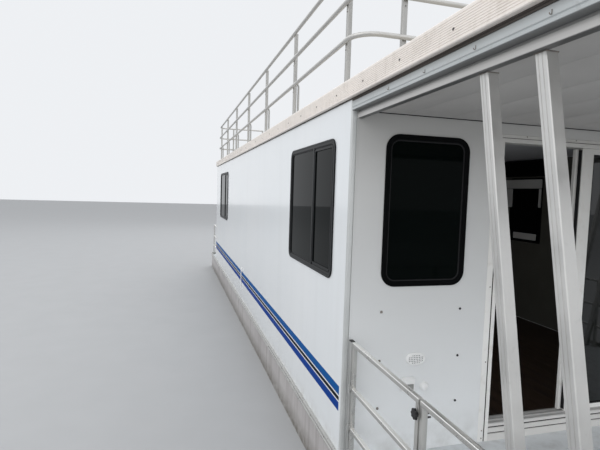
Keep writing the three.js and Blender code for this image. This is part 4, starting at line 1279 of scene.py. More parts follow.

# %% [markdown]
# The porch ceiling is boarded lengthwise, with chamfered edges that make a dark V between boards. A
# dark backing of painted shade closes what shows through, and rubber the joint at the bulkhead.

# %% Porch ceiling
CEILING_LOW, CEILING_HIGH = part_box("porch_ceiling")
BOARDS = 12
board_wide = (CEILING_HIGH.x - CEILING_LOW.x) / BOARDS
half_board, board_x = board_wide / 2, CEILING_LOW.x + board_wide / 2
board = Shape().bar(
    [(-half_board + 0.0015, 0.012), (-half_board + 0.0015, 0.002), (-half_board + 0.005, 0),
     (half_board - 0.005, 0), (half_board - 0.0015, 0.002), (half_board - 0.0015, 0.012)],
    (board_x, CEILING_LOW.y, CEILING_LOW.z), (board_x, CEILING_HIGH.y - 0.004, CEILING_LOW.z))
row("porch_ceiling_boards", board, BOARDS, (board_wide, 0, 0), ceiling_paint, "porch_ceiling")
joint = Shape().block((CEILING_LOW.x, FRONT - 0.0075, CEILING_LOW.z - 0.0045),
                      (CEILING_HIGH.x, FRONT - 0.0006, CEILING_LOW.z - 0.0004))
joint.piece("porch_ceiling_joint", rubber, bevel=0.0006)
# painted shade: a dark backing behind the ceiling boards
backing = Shape().block((CEILING_LOW.x, CEILING_LOW.y, CEILING_LOW.z + 0.006),
                        (CEILING_HIGH.x, CEILING_HIGH.y - 0.0005, CEILING_HIGH.z))
backing.piece("porch_ceiling_backing", painted_shadow, bevel=0.001, slot="ceiling_panel")

# %% [markdown]
# Two posts a side carry the porch roof and lean aft towards the top. Their outboard face has the
# grooves of an extrusion. Each stands between a foot plate and a dark top plate.

# %% Raked porch posts
POST_WIDE, POST_DEEP = 0.046, 0.045
PLATE, PLATE_HALF_WIDE, PLATE_HALF_DEEP = 0.004, 0.0242, 0.0255


def post_section():
    """Section of a porch post: x inboard from its outboard face, y aft from its middle."""
    back, soft = POST_DEEP / 2, 0.003
    face = [(0, -0.0195), (0, -0.0105), (0.0015, -0.01), (0.0015, -0.006), (0, -0.0055),
            (0, 0.0055), (0.0015, 0.006), (0.0015, 0.01), (0, 0.0105), (0, 0.0195)]
    return [(soft, -back), *face, (soft, back), (POST_WIDE - soft, back),
            (POST_WIDE, back - soft), (POST_WIDE, -back + soft), (POST_WIDE - soft, -back)]


for number in (1, 2):
    for side_name, side in SIDES.items():
        node = f"porch_post_{number}_{side_name}"
        low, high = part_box(node)
        out = max(abs(low.x), abs(high.x))
        foot_y, top_y = low.y + POST_DEEP / 2, high.y - POST_DEEP / 2
        post = Shape().rings([[(side * (out - x), middle + y, z) for x, y in post_section()]
                              for middle, z in ((foot_y, low.z), (top_y, high.z))], caps=True)
        post.piece(node + "_extrusion", post_metal, node)
        plates = Shape()
        plate_x = side * (out - POST_WIDE / 2)
        for middle, z in ((foot_y, low.z), (top_y, high.z - PLATE)):
            plates.block(
                (plate_x - side * PLATE_HALF_WIDE, middle - PLATE_HALF_DEEP, z),
                (plate_x + side * PLATE_HALF_WIDE, middle + PLATE_HALF_DEEP, z + PLATE))
        plates.piece(node + "_plates", dull_screw, bevel=0.001)

# %% [markdown]
# The deck rails are one-inch square tube with a top rail and two below. Their finish has a painted
# highlight: a bright belt at the height of each rail's upper face.

# %% Rail sizes and their painted highlight
RAIL, TUBE_EDGE = 0.025, 0.003
HALF_RAIL = RAIL / 2
LOWER_RAILS_Z, TOP_RAIL_Z = (0.999, 1.242), 1.514
rail_metal = extruded("aluminium_rails", 1, (0.52, 0.515, 0.495), 0.24)
for rail_z in (*LOWER_RAILS_Z, TOP_RAIL_Z):
    top = rail_z + HALF_RAIL
    # painted highlight: a bright belt on each rail's upper face
    painted_highlight = product(rail_metal.tree, rail_metal.height(top - 0.005, top - 0.002),
                     rail_metal.height(top + 0.0005, top + 0.001, 1.0, 0.0))
    rail_metal.layer(painted_highlight, (0.95, 0.94, 0.91))
print("rail tops", [round(z + HALF_RAIL - DECK, 3) for z in (*LOWER_RAILS_Z, TOP_RAIL_Z)],
      "over the deck")

# %% [markdown]
# Rails and gates are welded frames. A frame is a list of tube paths, which the tree makes at once.
# A gate's posts end above the deck.

# %% Deck rails and gates
RAIL_X, GATE_FOOT = 1.784, 0.86
GATE_HINGE, GATE_FREE = at(-0.058), at(-0.812)
LATCH_POST = GATE_FREE - 0.014 - HALF_RAIL
BOW_RAIL_Y, STERN_RAIL_Y = BOW + 0.04, STERN - 0.04
BOW_POST_X, BOW_GATE_X = 0.4255, 0.3875
FOOT_HALF, FOOT_THICK = 0.026, 0.005


def run(*spots, foot=None, corner=False):
    """Posts at places in plan, one line of them, with rails between and one over them. A run that
    starts at another one's corner leaves the post there to it."""
    spots = [Vector(spot) for spot in spots]
    along = (spots[-1] - spots[0]).normalized() * HALF_RAIL
    foot = DECK + FOOT_THICK if foot is None else foot
    posts = [[(*spot, foot), (*spot, TOP_RAIL_Z - HALF_RAIL)] for spot in spots[int(corner):]]
    over = [[(*(spots[0] + (along if corner else -along)), TOP_RAIL_Z),
             (*(spots[-1] + along), TOP_RAIL_Z)]]
    between = [[(*(a + along), z), (*(b - along), z)]
               for a, b in zip(spots, spots[1:]) for z in LOWER_RAILS_Z]
    return posts + over + between


def rail_frame(name, paths, body, node):
    """Square tubes, with a foot plate under each post that stands on the deck."""
    tubes(name, paths, RAIL, rail_metal, node, body=body, edge=TUBE_EDGE)
    feet = Shape()
    for (x, y, low), (_, _, high) in paths:
        if low < GATE_FOOT:
            feet.block((x - FOOT_HALF, y - FOOT_HALF, DECK + 0.0004),
                       (x + FOOT_HALF, y + FOOT_HALF, low))
    if feet.points:
        feet.piece(name + "_feet", metal_x, bevel=0.001, body=body)


for side_name, side in SIDES.items():
    x = side * RAIL_X
    rail_frame(f"bow_rail_{side_name}",
               run((x, BOW_RAIL_Y), (x, at(-1.985)), (x, at(-1.41)), (x, LATCH_POST))
               + run((x, BOW_RAIL_Y), (side * 1.11, BOW_RAIL_Y), (side * BOW_POST_X, BOW_RAIL_Y),
                     corner=True), "root", f"rail_bow_{side_name}")
    rail_frame(f"stern_rail_{side_name}",
               run((x, STERN_RAIL_Y), (x, AFT + 0.03))
               + run((x, STERN_RAIL_Y), (side * 1.17, STERN_RAIL_Y), (side * 0.56, STERN_RAIL_Y),
                     corner=True), "root", f"rail_aft_{side_name}")
    rail_frame(f"side_gate_{side_name}",
               run((x, GATE_FREE + HALF_RAIL), (x, GATE_HINGE - HALF_RAIL), foot=GATE_FOOT),
               f"gate_{side_name}", f"gate_side_{side_name}")
rail_frame("bow_gate_frame",
           run((-BOW_GATE_X, BOW_RAIL_Y), (BOW_GATE_X, BOW_RAIL_Y), foot=GATE_FOOT),
           "bow_gate", "gate_bow")

# %% [markdown]
# The side gates hang on a stouter post at the bulkhead, the only one with a black cap.

# %% Gate posts at the bulkhead
WALL_POST_Y = (at(-0.045), at(-0.007))
post_middle, post_deep = sum(WALL_POST_Y) / 2, WALL_POST_Y[1] - WALL_POST_Y[0]
post_top = TOP_RAIL_Z + HALF_RAIL
for side_name, side in SIDES.items():
    x, node = side * RAIL_X, f"gate_post_{side_name}"
    stout = Shape().bar(square_tube(post_deep, RAIL, TUBE_EDGE), (x, post_middle, DECK + 0.0004),
                        (x, post_middle, post_top - 0.004), up=(1, 0, 0))
    stout.piece(node + "_tube", metal_z, node)
    cap = Shape().block((x - HALF_RAIL, WALL_POST_Y[0], post_top - 0.0038),
                        (x + HALF_RAIL, WALL_POST_Y[1], post_top))
    cap.piece(node + "_cap", black_plastic, bevel=0.0012)

# %% [markdown]
# A hinge is two knuckles on a pin, the lower on the post and the upper on the gate, each welded on
# by a tab. Only the gate's half turns with it, so one function makes the halves and they ride on
# different bodies.

# %% Gate hinges
KNUCKLES_Z = LOWER_RAILS_Z
KNUCKLE, KNUCKLE_GAP = 0.024, 0.0003  # height of each half, and half the gap between them
PIN_OUT, HINGE_HALF_GAP, TAB = 0.006, 0.0065, (0.002, 0.022)
POST_HALF, GATE_HALF = (-KNUCKLE, -KNUCKLE_GAP), (KNUCKLE_GAP, KNUCKLE)


def hinge_half(name, body, pin, heights, tab_low, tab_high):
    """The knuckles of one half, at both heights, with a tab between two corners in plan."""
    z0, z1 = heights
    half = Shape()
    for z in KNUCKLES_Z:
        half.turned([(0.0068, z0), (0.0078, z0 + 0.001), (0.0078, z1 - 0.001), (0.0068, z1)],
                    (*pin, z), (0, 0, 1), sides=20)
        half.block((*tab_low, z + z0 + 0.001), (*tab_high, z + z1 - 0.001))
    half.piece(name, metal_z, bevel=0.0006, body=body)


for side_name, side in SIDES.items():
    face = side * (RAIL_X + HALF_RAIL)
    pin = (face + side * PIN_OUT, GATE_HINGE + HINGE_HALF_GAP)
    xs = sorted((face - side * 0.0005, pin[0] - side * 0.001))
    hinge_half(f"side_hinge_post_half_{side_name}", "root", pin, POST_HALF,
               (xs[0], pin[1] + TAB[0]), (xs[1], pin[1] + TAB[1]))
    hinge_half(f"side_hinge_gate_half_{side_name}", f"gate_{side_name}", pin, GATE_HALF,
               (xs[0], pin[1] - TAB[1]), (xs[1], pin[1] - TAB[0]))

BOW_PIN = (BOW_GATE_X + HALF_RAIL + HINGE_HALF_GAP, BOW_RAIL_Y + HALF_RAIL + PIN_OUT)
ys = (BOW_PIN[1] - PIN_OUT - 0.0005, BOW_PIN[1] + 0.001)
hinge_half("bow_hinge_post_half", "root", BOW_PIN, POST_HALF,
           (BOW_PIN[0] + TAB[0], ys[0]), (BOW_PIN[0] + TAB[1], ys[1]))
hinge_half("bow_hinge_gate_half", "bow_gate", BOW_PIN, GATE_HALF,
           (BOW_PIN[0] - TAB[1], ys[0]), (BOW_PIN[0] - TAB[0], ys[1]))

# %% [markdown]
# The latch is a black knob near the gate's free end, a circle with a wave on it for the dents that
# fingers grip. Its tongue reaches almost to the next post, where two small bolts hold the catch.

# %% Gate latches
KNOB_Z, DENTS = 1.458, 8
# radius, depth of the finger dents, height over the gate's face
KNOB_RINGS = [(0.01, 0, -0.001), (0.01, 0, 0.006), (0.023, 0.002, 0.0075),
              (0.026, 0.0034, 0.01), (0.026, 0.0034, 0.016), (0.022, 0.002, 0.019),
              (0.005, 0, 0.02)]


def knob_ring(radius, dent, height, face, y, side, sides=64):
    turns = [2 * pi * i / sides for i in range(sides)]
    reach = [radius - dent * (1 - cos(DENTS * t)) for t in turns]
    return [(face + side * height, y + r * cos(t), KNOB_Z + r * sin(t))
            for r, t in zip(reach, turns)]


for side_name, side in SIDES.items():
    gate, face = f"gate_{side_name}", side * (RAIL_X + HALF_RAIL)
    knob = Shape().rings([knob_ring(*ring, face, GATE_FREE + 0.0065, side) for ring in KNOB_RINGS],
                         caps=True)
    knob.piece(f"gate_latch_knob_{side_name}", black_plastic, body=gate)
    inboard = side * (RAIL_X - HALF_RAIL)
    heads(f"gate_latch_bolts_{side_name}",
          [((inboard, LATCH_POST - 0.002, z), (-side, 0, 0)) for z in (1.456, 1.474)],
          black_plastic, 0.0048, 0.02, slot="bare_aluminium")
    tongue = Shape().block((side * RAIL_X - 0.004, GATE_FREE - 0.0125, 1.43),
                           (side * RAIL_X + 0.004, GATE_FREE + 0.001, 1.46))
    tongue.piece(f"gate_latch_tongue_{side_name}", stainless, bevel=0.001, body=gate)

# %% [markdown]
# The roof rails are round tube, bent to one curve at the corners and open at the stern, where the
# ladder comes up. Two loops are bolted outside square stanchions, and a third is welded on top.

# %% Roof rails
ROOF_RAIL = 0.031
HALF_TUBE = ROOF_RAIL / 2
LOOP_LOW, LOOP_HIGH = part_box("roof_rail_low")
RAIL_OUT = LOOP_HIGH.x - HALF_TUBE
RAIL_FORE, RAIL_AFT = LOOP_LOW.y + HALF_TUBE, LOOP_HIGH.y - HALF_TUBE
LADDER_GAP = (-0.805, -0.295)
BEND, TOP_INSET = 0.16, 0.012
TOP_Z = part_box("roof_rail_front")[1].z - HALF_TUBE
LOWER_Z = [sum(v.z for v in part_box(node)) / 2 for node in ("roof_rail_low", "roof_rail_mid")]


def roof_path(z, inset=0.0):
    """From the ladder's opening round the roof and back to it."""
    x, fore, aft = RAIL_OUT - inset, RAIL_FORE + inset, RAIL_AFT - inset
    return [(LADDER_GAP[0], aft, z), (-x, aft, z), (-x, fore, z), (x, fore, z), (x, aft, z),
            (LADDER_GAP[1], aft, z)]


tubes("roof_rails_lower", [roof_path(z) for z in LOWER_Z], ROOF_RAIL, bright_metal,
      "roof_rail_low", "roof_rail_mid", bend=BEND)
tubes("roof_rail_top", [roof_path(TOP_Z, TOP_INSET)], ROOF_RAIL, bright_metal,
      "roof_rail_front", "roof_rail_starboard", "roof_rail_port", bend=BEND - TOP_INSET)

# %% [markdown]
# Square stanchions stand inside the loops. Each side one but the foremost has a thin second leg,
# bent into it above the low rail.

# %% Stanchions and their second legs
STANCHION = 0.015
POST_INSET = HALF_TUBE + STANCHION + 0.0003
post_x, fore_y, aft_y = RAIL_OUT - POST_INSET, RAIL_FORE + POST_INSET, RAIL_AFT - POST_INSET
SIDE_STATIONS = [0.25, 1.55, 2.85, 4.15, 5.45, 6.75, 7.9]
FORE_X, AFT_X = (-1.49, -0.5, 0.5, 1.49), (-1.49, -0.8195, -0.2805, 0.5, 1.49)
PAD_HALF, PAD_THICK = 0.018, 0.006
roof_z = ROOF_TOP + 0.0003
post_foot = roof_z + PAD_THICK - 0.001
# place in plan, and the way that is outboard there
posts = ([((side * post_x, at(s)), (side, 0)) for s in SIDE_STATIONS for side in SIDES.values()]
         + [((x, fore_y), (0, -1)) for x in FORE_X] + [((x, aft_y), (0, 1)) for x in AFT_X])
tubes("roof_stanchions", [[(*place, post_foot), (*place, TOP_Z)] for place, _ in posts],
      STANCHION * 2, shaded_stanchion_metal, edge=TUBE_EDGE)

LEG_SIZE, LEG_IN, LEG_FLARE, LEG_TOP = 0.018, 0.034, 0.026, 3.415
legs = [[(side * (post_x - LEG_IN - LEG_FLARE), at(s), post_foot),
         (side * (post_x - LEG_IN), at(s), roof_z + 0.07),
         (side * (post_x - LEG_IN), at(s), LEG_TOP - 0.06),
         (side * (post_x - 0.004), at(s), LEG_TOP)]
        for s in SIDE_STATIONS[1:] for side in SIDES.values()]
tubes("roof_second_legs", legs, LEG_SIZE, shaded_stanchion_metal, bend=0.05)

# %% [markdown]
# The two legs share a foot pad with a screw inboard. Dark bolt heads show under the lower rails.

# %% Pads, bolts and screws of the roof rail
pads = Shape()
for (x, y), way in posts:
    reach = LEG_IN + LEG_FLARE if way[0] and y > at(SIDE_STATIONS[0]) + 0.01 else 0.0
    away = x - way[0] * reach
    pads.block((min(x, away) - PAD_HALF, y - PAD_HALF, roof_z),
               (max(x, away) + PAD_HALF, y + PAD_HALF, roof_z + PAD_THICK))
pads.piece("roof_rail_pads", metal_x, bevel=0.0015)
bolt_out = STANCHION - 0.001
rail_bolts = [((x + way[0] * bolt_out, y + way[1] * bolt_out, z - 0.045), (*way, 0))
              for (x, y), way in posts for z in LOWER_Z]
heads("roof_rail_bolts", rail_bolts, dull_screw, 0.0055, 0.005, sides=6)
pad_screws = [((x - way[0] * 0.03, y + 0.012, roof_z + PAD_THICK - 0.0005), (0, 0, 1))
              for (x, y), way in posts if way[0]]
heads("roof_pad_screws", pad_screws, dull_screw, 0.004, 0.003)

# %% [markdown]
# The ladder leans against the roof's edge. Its rungs are let into round stiles, so one rung and one
# step vector make them all. Its feet stand in sockets on the deck.

# %% Roof ladder
LADDER_X = (-0.76, -0.34)
LADDER_LOW, LADDER_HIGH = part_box("roof_ladder")
STILE, RUNG = 0.016, 0.012
LEAN = -0.135                         # along Y for each metre up
foot_y = LADDER_HIGH.y - STILE


def ladder_at(z):
    """The middle of the stiles at a height, as (y, z)."""
    return foot_y + LEAN * (z - DECK), z


stiles = [[(x, *ladder_at(LADDER_LOW.z)), (x, *ladder_at(LADDER_HIGH.z - 0.004))]
          for x in LADDER_X]
tubes("ladder_stiles", stiles, STILE * 2, metal_z, "roof_ladder")
RUNGS, FIRST_RUNG, RUNG_STEP = 8, 1.02, 0.285
rung = Shape().bar(circle(RUNG, 16), (LADDER_X[0] + 0.004, *ladder_at(FIRST_RUNG)),
                   (LADDER_X[1] - 0.004, *ladder_at(FIRST_RUNG)))
row("ladder_rungs", rung, RUNGS, (0, LEAN * RUNG_STEP, RUNG_STEP), metal_x)
ladder_fit = Shape()
for x in LADDER_X:
    ladder_fit.block((x - 0.03, foot_y - 0.03, DECK + 0.0004),
                     (x + 0.03, foot_y + 0.016, DECK + 0.006))
    ladder_fit.turned([(STILE * 0.98, -0.0048), (STILE * 0.98, -0.001), (STILE * 0.7, 0.0)],
                      (x, *ladder_at(LADDER_HIGH.z)), (0, 0, 1), sides=20)
ladder_fit.piece("ladder_feet_and_caps", black_plastic, bevel=0.0012)

# %% [markdown]
# Mooring cleats are cast: a soft base with two bolts, two short legs and a horn that thins towards
# its ends, which is a turned profile.

# %% Cleats
HORN, HORN_HALF, HORN_Z = 0.011, 0.105, DECK + 0.062
for node in ("cleat_bow_starboard", "cleat_bow_port", "cleat_stern_starboard", "cleat_stern_port"):
    low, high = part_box(node)
    x, y = (low.x + high.x) / 2, (low.y + high.y) / 2
    cleat = Shape().sheet(rounded(x - 0.027, x + 0.027, y - 0.064, y + 0.064, 0.014, 6),
                          (DECK + 0.0005, DECK + 0.01), flat)
    for s in (-1, 1):
        cleat.bar(rounded(-0.01, 0.01, -0.012, 0.012, 0.006, 4)(),
                  (x, y + s * 0.032, DECK + 0.009), (x, y + s * 0.032, HORN_Z), up=(0, 1, 0))
    cleat.turned([(0.004, -HORN_HALF), (0.0075, -HORN_HALF + 0.004), (0.009, -0.07), (HORN, -0.03),
                  (HORN, 0.03), (0.009, 0.07), (0.0075, HORN_HALF - 0.004), (0.004, HORN_HALF)],
                 (x, y, HORN_Z), (0, 1, 0), sides=20)
    cleat.piece(node + "_casting", stainless, node, bevel=0.0015)
    heads(node + "_bolts", [((x, y + s * 0.052, DECK + 0.0105), (0, 0, 1)) for s in (-1, 1)],
          dull_screw, 0.006, 0.003)

# %% [markdown]
# Small things make the bulkhead read as a wall in use. Black bolts are at the windows' door side
# and dull ones outboard. The photo shows them to starboard, and they are mirrored to port.

# %% Bolts on the bulkhead
WALL_BOLTS_Z = (1.685, 1.377, 1.076)


def wall_bolts(x):
    return [((s * x, FRONT - 0.002, z), (0, -1, 0)) for s in (-1, 1) for z in WALL_BOLTS_Z]


heads("bulkhead_bolts_door_side", wall_bolts(1.035), black_plastic, 0.008, 0.005, 16, "wall_panel")
heads("bulkhead_bolts_outer", wall_bolts(1.589), dull_screw, 0.009, 0.005, 16, "wall_panel")

# %% [markdown]
# A vented speaker cover is on the starboard half only: a squared oval with a sunk middle, and dark
# dots on a grid for its holes.


# %% Speaker cover
def oval(cx, cz, half_x, half_z, sides=40, power=0.85):
    """A squared oval as a function of the inset."""
    def outline(inset=0.0):
        result = []
        for i in range(sides):
            c, s = cos(2 * pi * i / sides), sin(2 * pi * i / sides)
            result.append((cx + (half_x - inset) * (abs(c) ** power) * (1 if c > 0 else -1),
                           cz + (half_z - inset) * (abs(s) ** power) * (1 if s > 0 else -1)))
        return result
    return outline


SPEAKER_X, SPEAKER_Z = -1.342, 1.376
HOLE_STEP, HOLES_HALF_WIDE, HOLES_HALF_HIGH = 0.0115, 0.052, 0.028
speaker_outline = oval(SPEAKER_X, SPEAKER_Z, 0.066, 0.04)
speaker = Shape().rings([[on_front(u, v, h) for u, v in speaker_outline(inset)]
                         for inset, h in ((0, 0.0004), (0.001, 0.012), (0.006, 0.017),
                                          (0.01, 0.0175), (0.012, 0.0145))], caps=True)
speaker.piece("speaker_cover", white_plastic)
grid = [(i * HOLE_STEP, j * HOLE_STEP) for i in range(-5, 6) for j in range(-3, 4)]
holes = [((SPEAKER_X + dx, FRONT - 0.0143, SPEAKER_Z + dz), (0, -1, 0)) for dx, dz in grid
         if (dx / HOLES_HALF_WIDE) ** 2 + (dz / HOLES_HALF_HIGH) ** 2 < 1]
heads("speaker_holes", holes, rubber, 0.0032, 0.0012, 8)

# %% [markdown]
# Below the speaker cover are a moulded outlet box with a hood over a grey face, and a lamp, which
# is a turned cap.

# %% Outlet box and lamp
outlet = Shape().sheet(rounded(-1.438, -1.348, 1.175, 1.262, 0.008, 4), (0.0004, 0.024), on_front)
outlet.sheet(rounded(-1.434, -1.352, 1.226, 1.258, 0.007, 4), (0.022, 0.034), on_front)
outlet.piece("outlet_box", white_plastic, bevel=0.003)
outlet_face = Shape().sheet(rounded(-1.418, -1.356, 1.18, 1.222, 0.004, 4), (0.0235, 0.0262),
                            on_front)
outlet_face.piece("outlet_face", grey_plastic, bevel=0.0005)

lamp = Shape().turned([(0.03, 0.0004), (0.03, 0.006), (0.026, 0.008), (0.024, 0.02),
                       (0.018, 0.028), (0.008, 0.032), (0.001, 0.033)],
                      (-1.272, FRONT, 1.195), (0, -1, 0), sides=32)
lamp.piece("porch_lamp", white_plastic)

# %% [markdown]
# A white grab handle about halfway aft on each side helps people aboard: a bent tube between two
# feet. It stands out no further than the rub rail does.

# %% Grab handles
HANDLE_Y, HANDLE_LOW, HANDLE_HIGH = at(4.1), 0.94, 1.29
HANDLE_OUT = RUB_OUT - 0.007
for side_name, side in SIDES.items():
    x0, x1 = side * (HALF + 0.0004), side * (HALF + HANDLE_OUT)
    tubes(f"grab_handle_{side_name}", [[
        (x0, HANDLE_Y, HANDLE_LOW + 0.012), (x1, HANDLE_Y, HANDLE_LOW + 0.03),
        (x1, HANDLE_Y, HANDLE_HIGH - 0.03), (x0, HANDLE_Y, HANDLE_HIGH - 0.012)]],
        0.012, white_plastic, bend=0.01)
    feet = Shape()
    for z0 in (HANDLE_LOW, HANDLE_HIGH - 0.024):
        feet.sheet(rounded(HANDLE_Y - 0.016, HANDLE_Y + 0.016, z0, z0 + 0.024, 0.009, 5),
                   (0.0008, 0.005), on_side(side))
    feet.piece(f"grab_handle_feet_{side_name}", white_plastic, bevel=0.001)

# %% [markdown]
# Inside, the cabin shows only through the open door. Its floor is a row of dark boards with eased
# edges. A grey lining hides the roof panel, and a brown one the port wall's white.

# %% Cabin floor
INSIDE = HALF - WALL - 0.003
FLOOR_THICK, FLOOR_BOARDS = 0.014, 24
floor_wide = 2 * INSIDE / FLOOR_BOARDS
half_plank, plank_x, plank_z = floor_wide / 2, -INSIDE + floor_wide / 2, DECK + 0.0004
plank = Shape().bar(
    [(-half_plank + 0.0006, 0), (half_plank - 0.0006, 0),
     (half_plank - 0.0006, FLOOR_THICK - 0.001), (half_plank - 0.0018, FLOOR_THICK),
     (-half_plank + 0.0018, FLOOR_THICK), (-half_plank + 0.0006, FLOOR_THICK - 0.001)],
    (plank_x, at(0.088), plank_z), (plank_x, at(8.188), plank_z))
row("cabin_floor_boards", plank, FLOOR_BOARDS, (floor_wide, 0, 0), floor_boards)

lining = Shape().sheet(rounded(-INSIDE, INSIDE, at(0.05), at(8.188), 0.004, 2),
                       (EAVES - 0.014, EAVES - 0.001), flat)
lining.piece("cabin_ceiling_lining", ceiling_lining, bevel=0.001)
lining_port = Shape().sheet(rounded(at(1.4), at(6.0), DECK + 0.02, EAVES - 0.02, 0.004, 2),
                            (-WALL - 0.003, -WALL - 0.0005), on_side(1))
lining_port.piece("cabin_port_lining", lining_brown, bevel=0.0005)

# %% [markdown]
# A locker shows on the port wall: a dark front with a raised panel and a pelmet over it, framed in
# something lighter. It is two sets of slabs, one for each finish.

# %% Locker on the port wall
# from and to station, from and to height, how far it stands in from the wall
dark_slabs = [(2.33, 2.9, 1.83, 2.69, 0.012), (2.39, 2.79, 1.955, 2.531, 0.03),
              (2.05, 3.2, 2.71, 2.92, 0.06)]
light_slabs = [(2.34, 3.02, 2.55, 2.67, 0.022), (2.86, 3.0, 2.29, 2.545, 0.018),
               (2.39, 2.8, 1.865, 1.95, 0.02), (2.345, 2.385, 2.3, 2.545, 0.02)]
for name, slabs, finish in (("cabin_locker_door", dark_slabs, flush_frame),
                            ("cabin_locker_frame", light_slabs, inner_trim)):
    fitted = Shape()
    for from_station, to_station, low, high, thick in slabs:
        fitted.sheet(rounded(at(from_station), at(to_station), low, high, 0.012, 4),
                     (-WALL - thick, -WALL - 0.0035), on_side(1))
    fitted.piece(name, finish, bevel=0.002)

# %% [markdown]
# The motor hangs between the hulls on an aluminium bracket: a plate with a packing block on the
# deck's end, two arms, and a second plate aft of them for the clamp.

# %% Motor bracket
STEER_Y, TILT_Y, TILT_Z = at(9.6), at(9.52), 0.87
PLATE_Y = (at(9.42), at(9.47))
PLATE_BOLTS = [(0.245, 0.84), (0.245, 0.66), (0.245, 0.48), (0.15, 0.48), (0.165, 0.84)]
bracket = Shape().sheet(rounded(-0.28, 0.28, 0.43, 0.88, 0.03, 6), PLATE_Y, across)
bracket.sheet(rounded(-0.3, 0.3, 0.45, 0.73, 0.025, 6), (STERN + 0.0204, STERN + 0.029), across)
bracket.block((-0.299, STERN + 0.0005, 0.451), (0.299, STERN + 0.0202, 0.729))
for s in (-1, 1):
    x0, x1 = sorted((s * 0.24, s * 0.28))
    bracket.block((x0, STERN + 0.026, 0.46), (x1, PLATE_Y[0] + 0.003, 0.72))
bracket.piece("motor_bracket_plates", metal_x, "motor_bracket", bevel=0.003)
heads("motor_bracket_bolts",
      [((s * x, PLATE_Y[1] - 0.0005, z), (0, 1, 0)) for s in (-1, 1) for x, z in PLATE_BOLTS]
      + [((s * 0.205, STERN + 0.0285, z), (0, 1, 0)) for s in (-1, 1) for z in (0.49, 0.59, 0.69)],
      dull_screw, 0.011, 0.008, 6)

# %% [markdown]
# The clamp is two cheeks with the tilt pin through them. It stays still when the motor tilts, so it
# rides with the boat.

# %% Motor clamp
CHEEK_X, CLAMP_Y = (0.082, 0.125), PLATE_Y[1] + 0.0006
cheek_outline = [(CLAMP_Y, 0.64), (PLATE_Y[1] + 0.03, 0.64), (TILT_Y + 0.02, 0.76),
                 (TILT_Y + 0.041, 0.85), (TILT_Y + 0.041, 0.9), (TILT_Y + 0.026, 0.914),
                 (CLAMP_Y, 0.914)]
clamp = Shape()
for s in (-1, 1):
    clamp.rings([[(s * x, y, z) for y, z in cheek_outline] for x in CHEEK_X], caps=True)
clamp.block((-CHEEK_X[0] - 0.004, CLAMP_Y, 0.641), (CHEEK_X[0] + 0.004, PLATE_Y[1] + 0.008, 0.699))
clamp.turned([(0.012, -0.139), (0.0139, -0.137), (0.0139, 0.137), (0.012, 0.139)],
             (0, TILT_Y, TILT_Z), (1, 0, 0), sides=24)
clamp.piece("motor_clamp_casting", motor_cast, "motor_clamp", bevel=0.0025)
heads("motor_clamp_bolts",
      [((s * 0.1035, PLATE_Y[1] + 0.03, 0.9135), (0, 0, 1)) for s in (-1, 1)]
      + [((s * 0.1255, PLATE_Y[1] + 0.02, z), (s, 0, 0)) for s in (-1, 1) for z in (0.7, 0.8)],
      dull_screw, 0.008, 0.006, 6)

# %% [markdown]
# The swivel turns on the tilt pin and holds the steering tube between two collars. It tilts but
# doesn't steer, so it has a body of its own.

# %% Motor swivel
swivel = Shape()
swivel.turned([(0.0205, -0.0755), (0.033, -0.0755), (0.034, -0.0735), (0.034, 0.0735),
               (0.033, 0.0755), (0.0205, 0.0755)], (0, TILT_Y, TILT_Z), (1, 0, 0), sides=32)
swivel.block((-0.0445, TILT_Y + 0.005, TILT_Z - 0.069), (0.0445, STEER_Y - 0.004, TILT_Z + 0.0275))
web_from = TILT_Y + 0.022
swivel.rings([[(-w, web_from, z), (w, web_from, z), (w, STEER_Y, z), (-w, STEER_Y, z)]
              for w, z in ((0.02, 0.505), (0.031, 0.56), (0.031, TILT_Z - 0.01))], caps=True)
swivel.turned([(0.034, 0.4805), (0.0395, 0.484), (0.0395, 0.5), (0.036, 0.504), (0.036, 0.905),
               (0.0395, 0.909), (0.0395, 0.9265), (0.034, 0.9295)],
              (0, STEER_Y, 0), (0, 0, 1), sides=32)
swivel.piece("motor_swivel_casting", motor_cast, "motor_swivel", bevel=0.0025, body="motor_swivel")

# %% [markdown]
# Leg and cover are stacks of rings: squared ovals where they house something, and pointed ones for
# the strut, which is streamlined.


# %% Rings of the motor
def squared_ring(half, front, back, z, power=0.6, sides=48):
    """A squared oval in plan. front and back are counted from the steering axis."""
    plan = oval(0, STEER_Y + (front + back) / 2, half, (back - front) / 2, sides, power)
    return [(x, y, z) for x, y in plan()]


def strut_ring(half, front, back, z, sides=40):
    """A pointed oval, sharp at the back and rounder at the front."""
    ring = []
    for i in range(sides):
        t = 2 * pi * i / sides
        along = (1 - cos(t)) / 2                       # 0 at the front
        thick = half * 2.6 * (along ** 0.5) * (1 - along)
        ring.append((thick * (1 if t < pi else -1), STEER_Y + front + (back - front) * along, z))
    return ring


print("a squared ring has", len(squared_ring(1, 0, 1, 0)), "points, a strut's ring",
      len(strut_ring(1, 0, 1, 0)))

# %% [markdown]
# The leg is a tapered casting: a tray under the cover, a housing that narrows to the plate over the
# propeller, a thin strut with a rounded gearcase, and a fin. A few rings are given and the rest
# eased between them.

# %% Motor leg
PROP_Z = 0.215
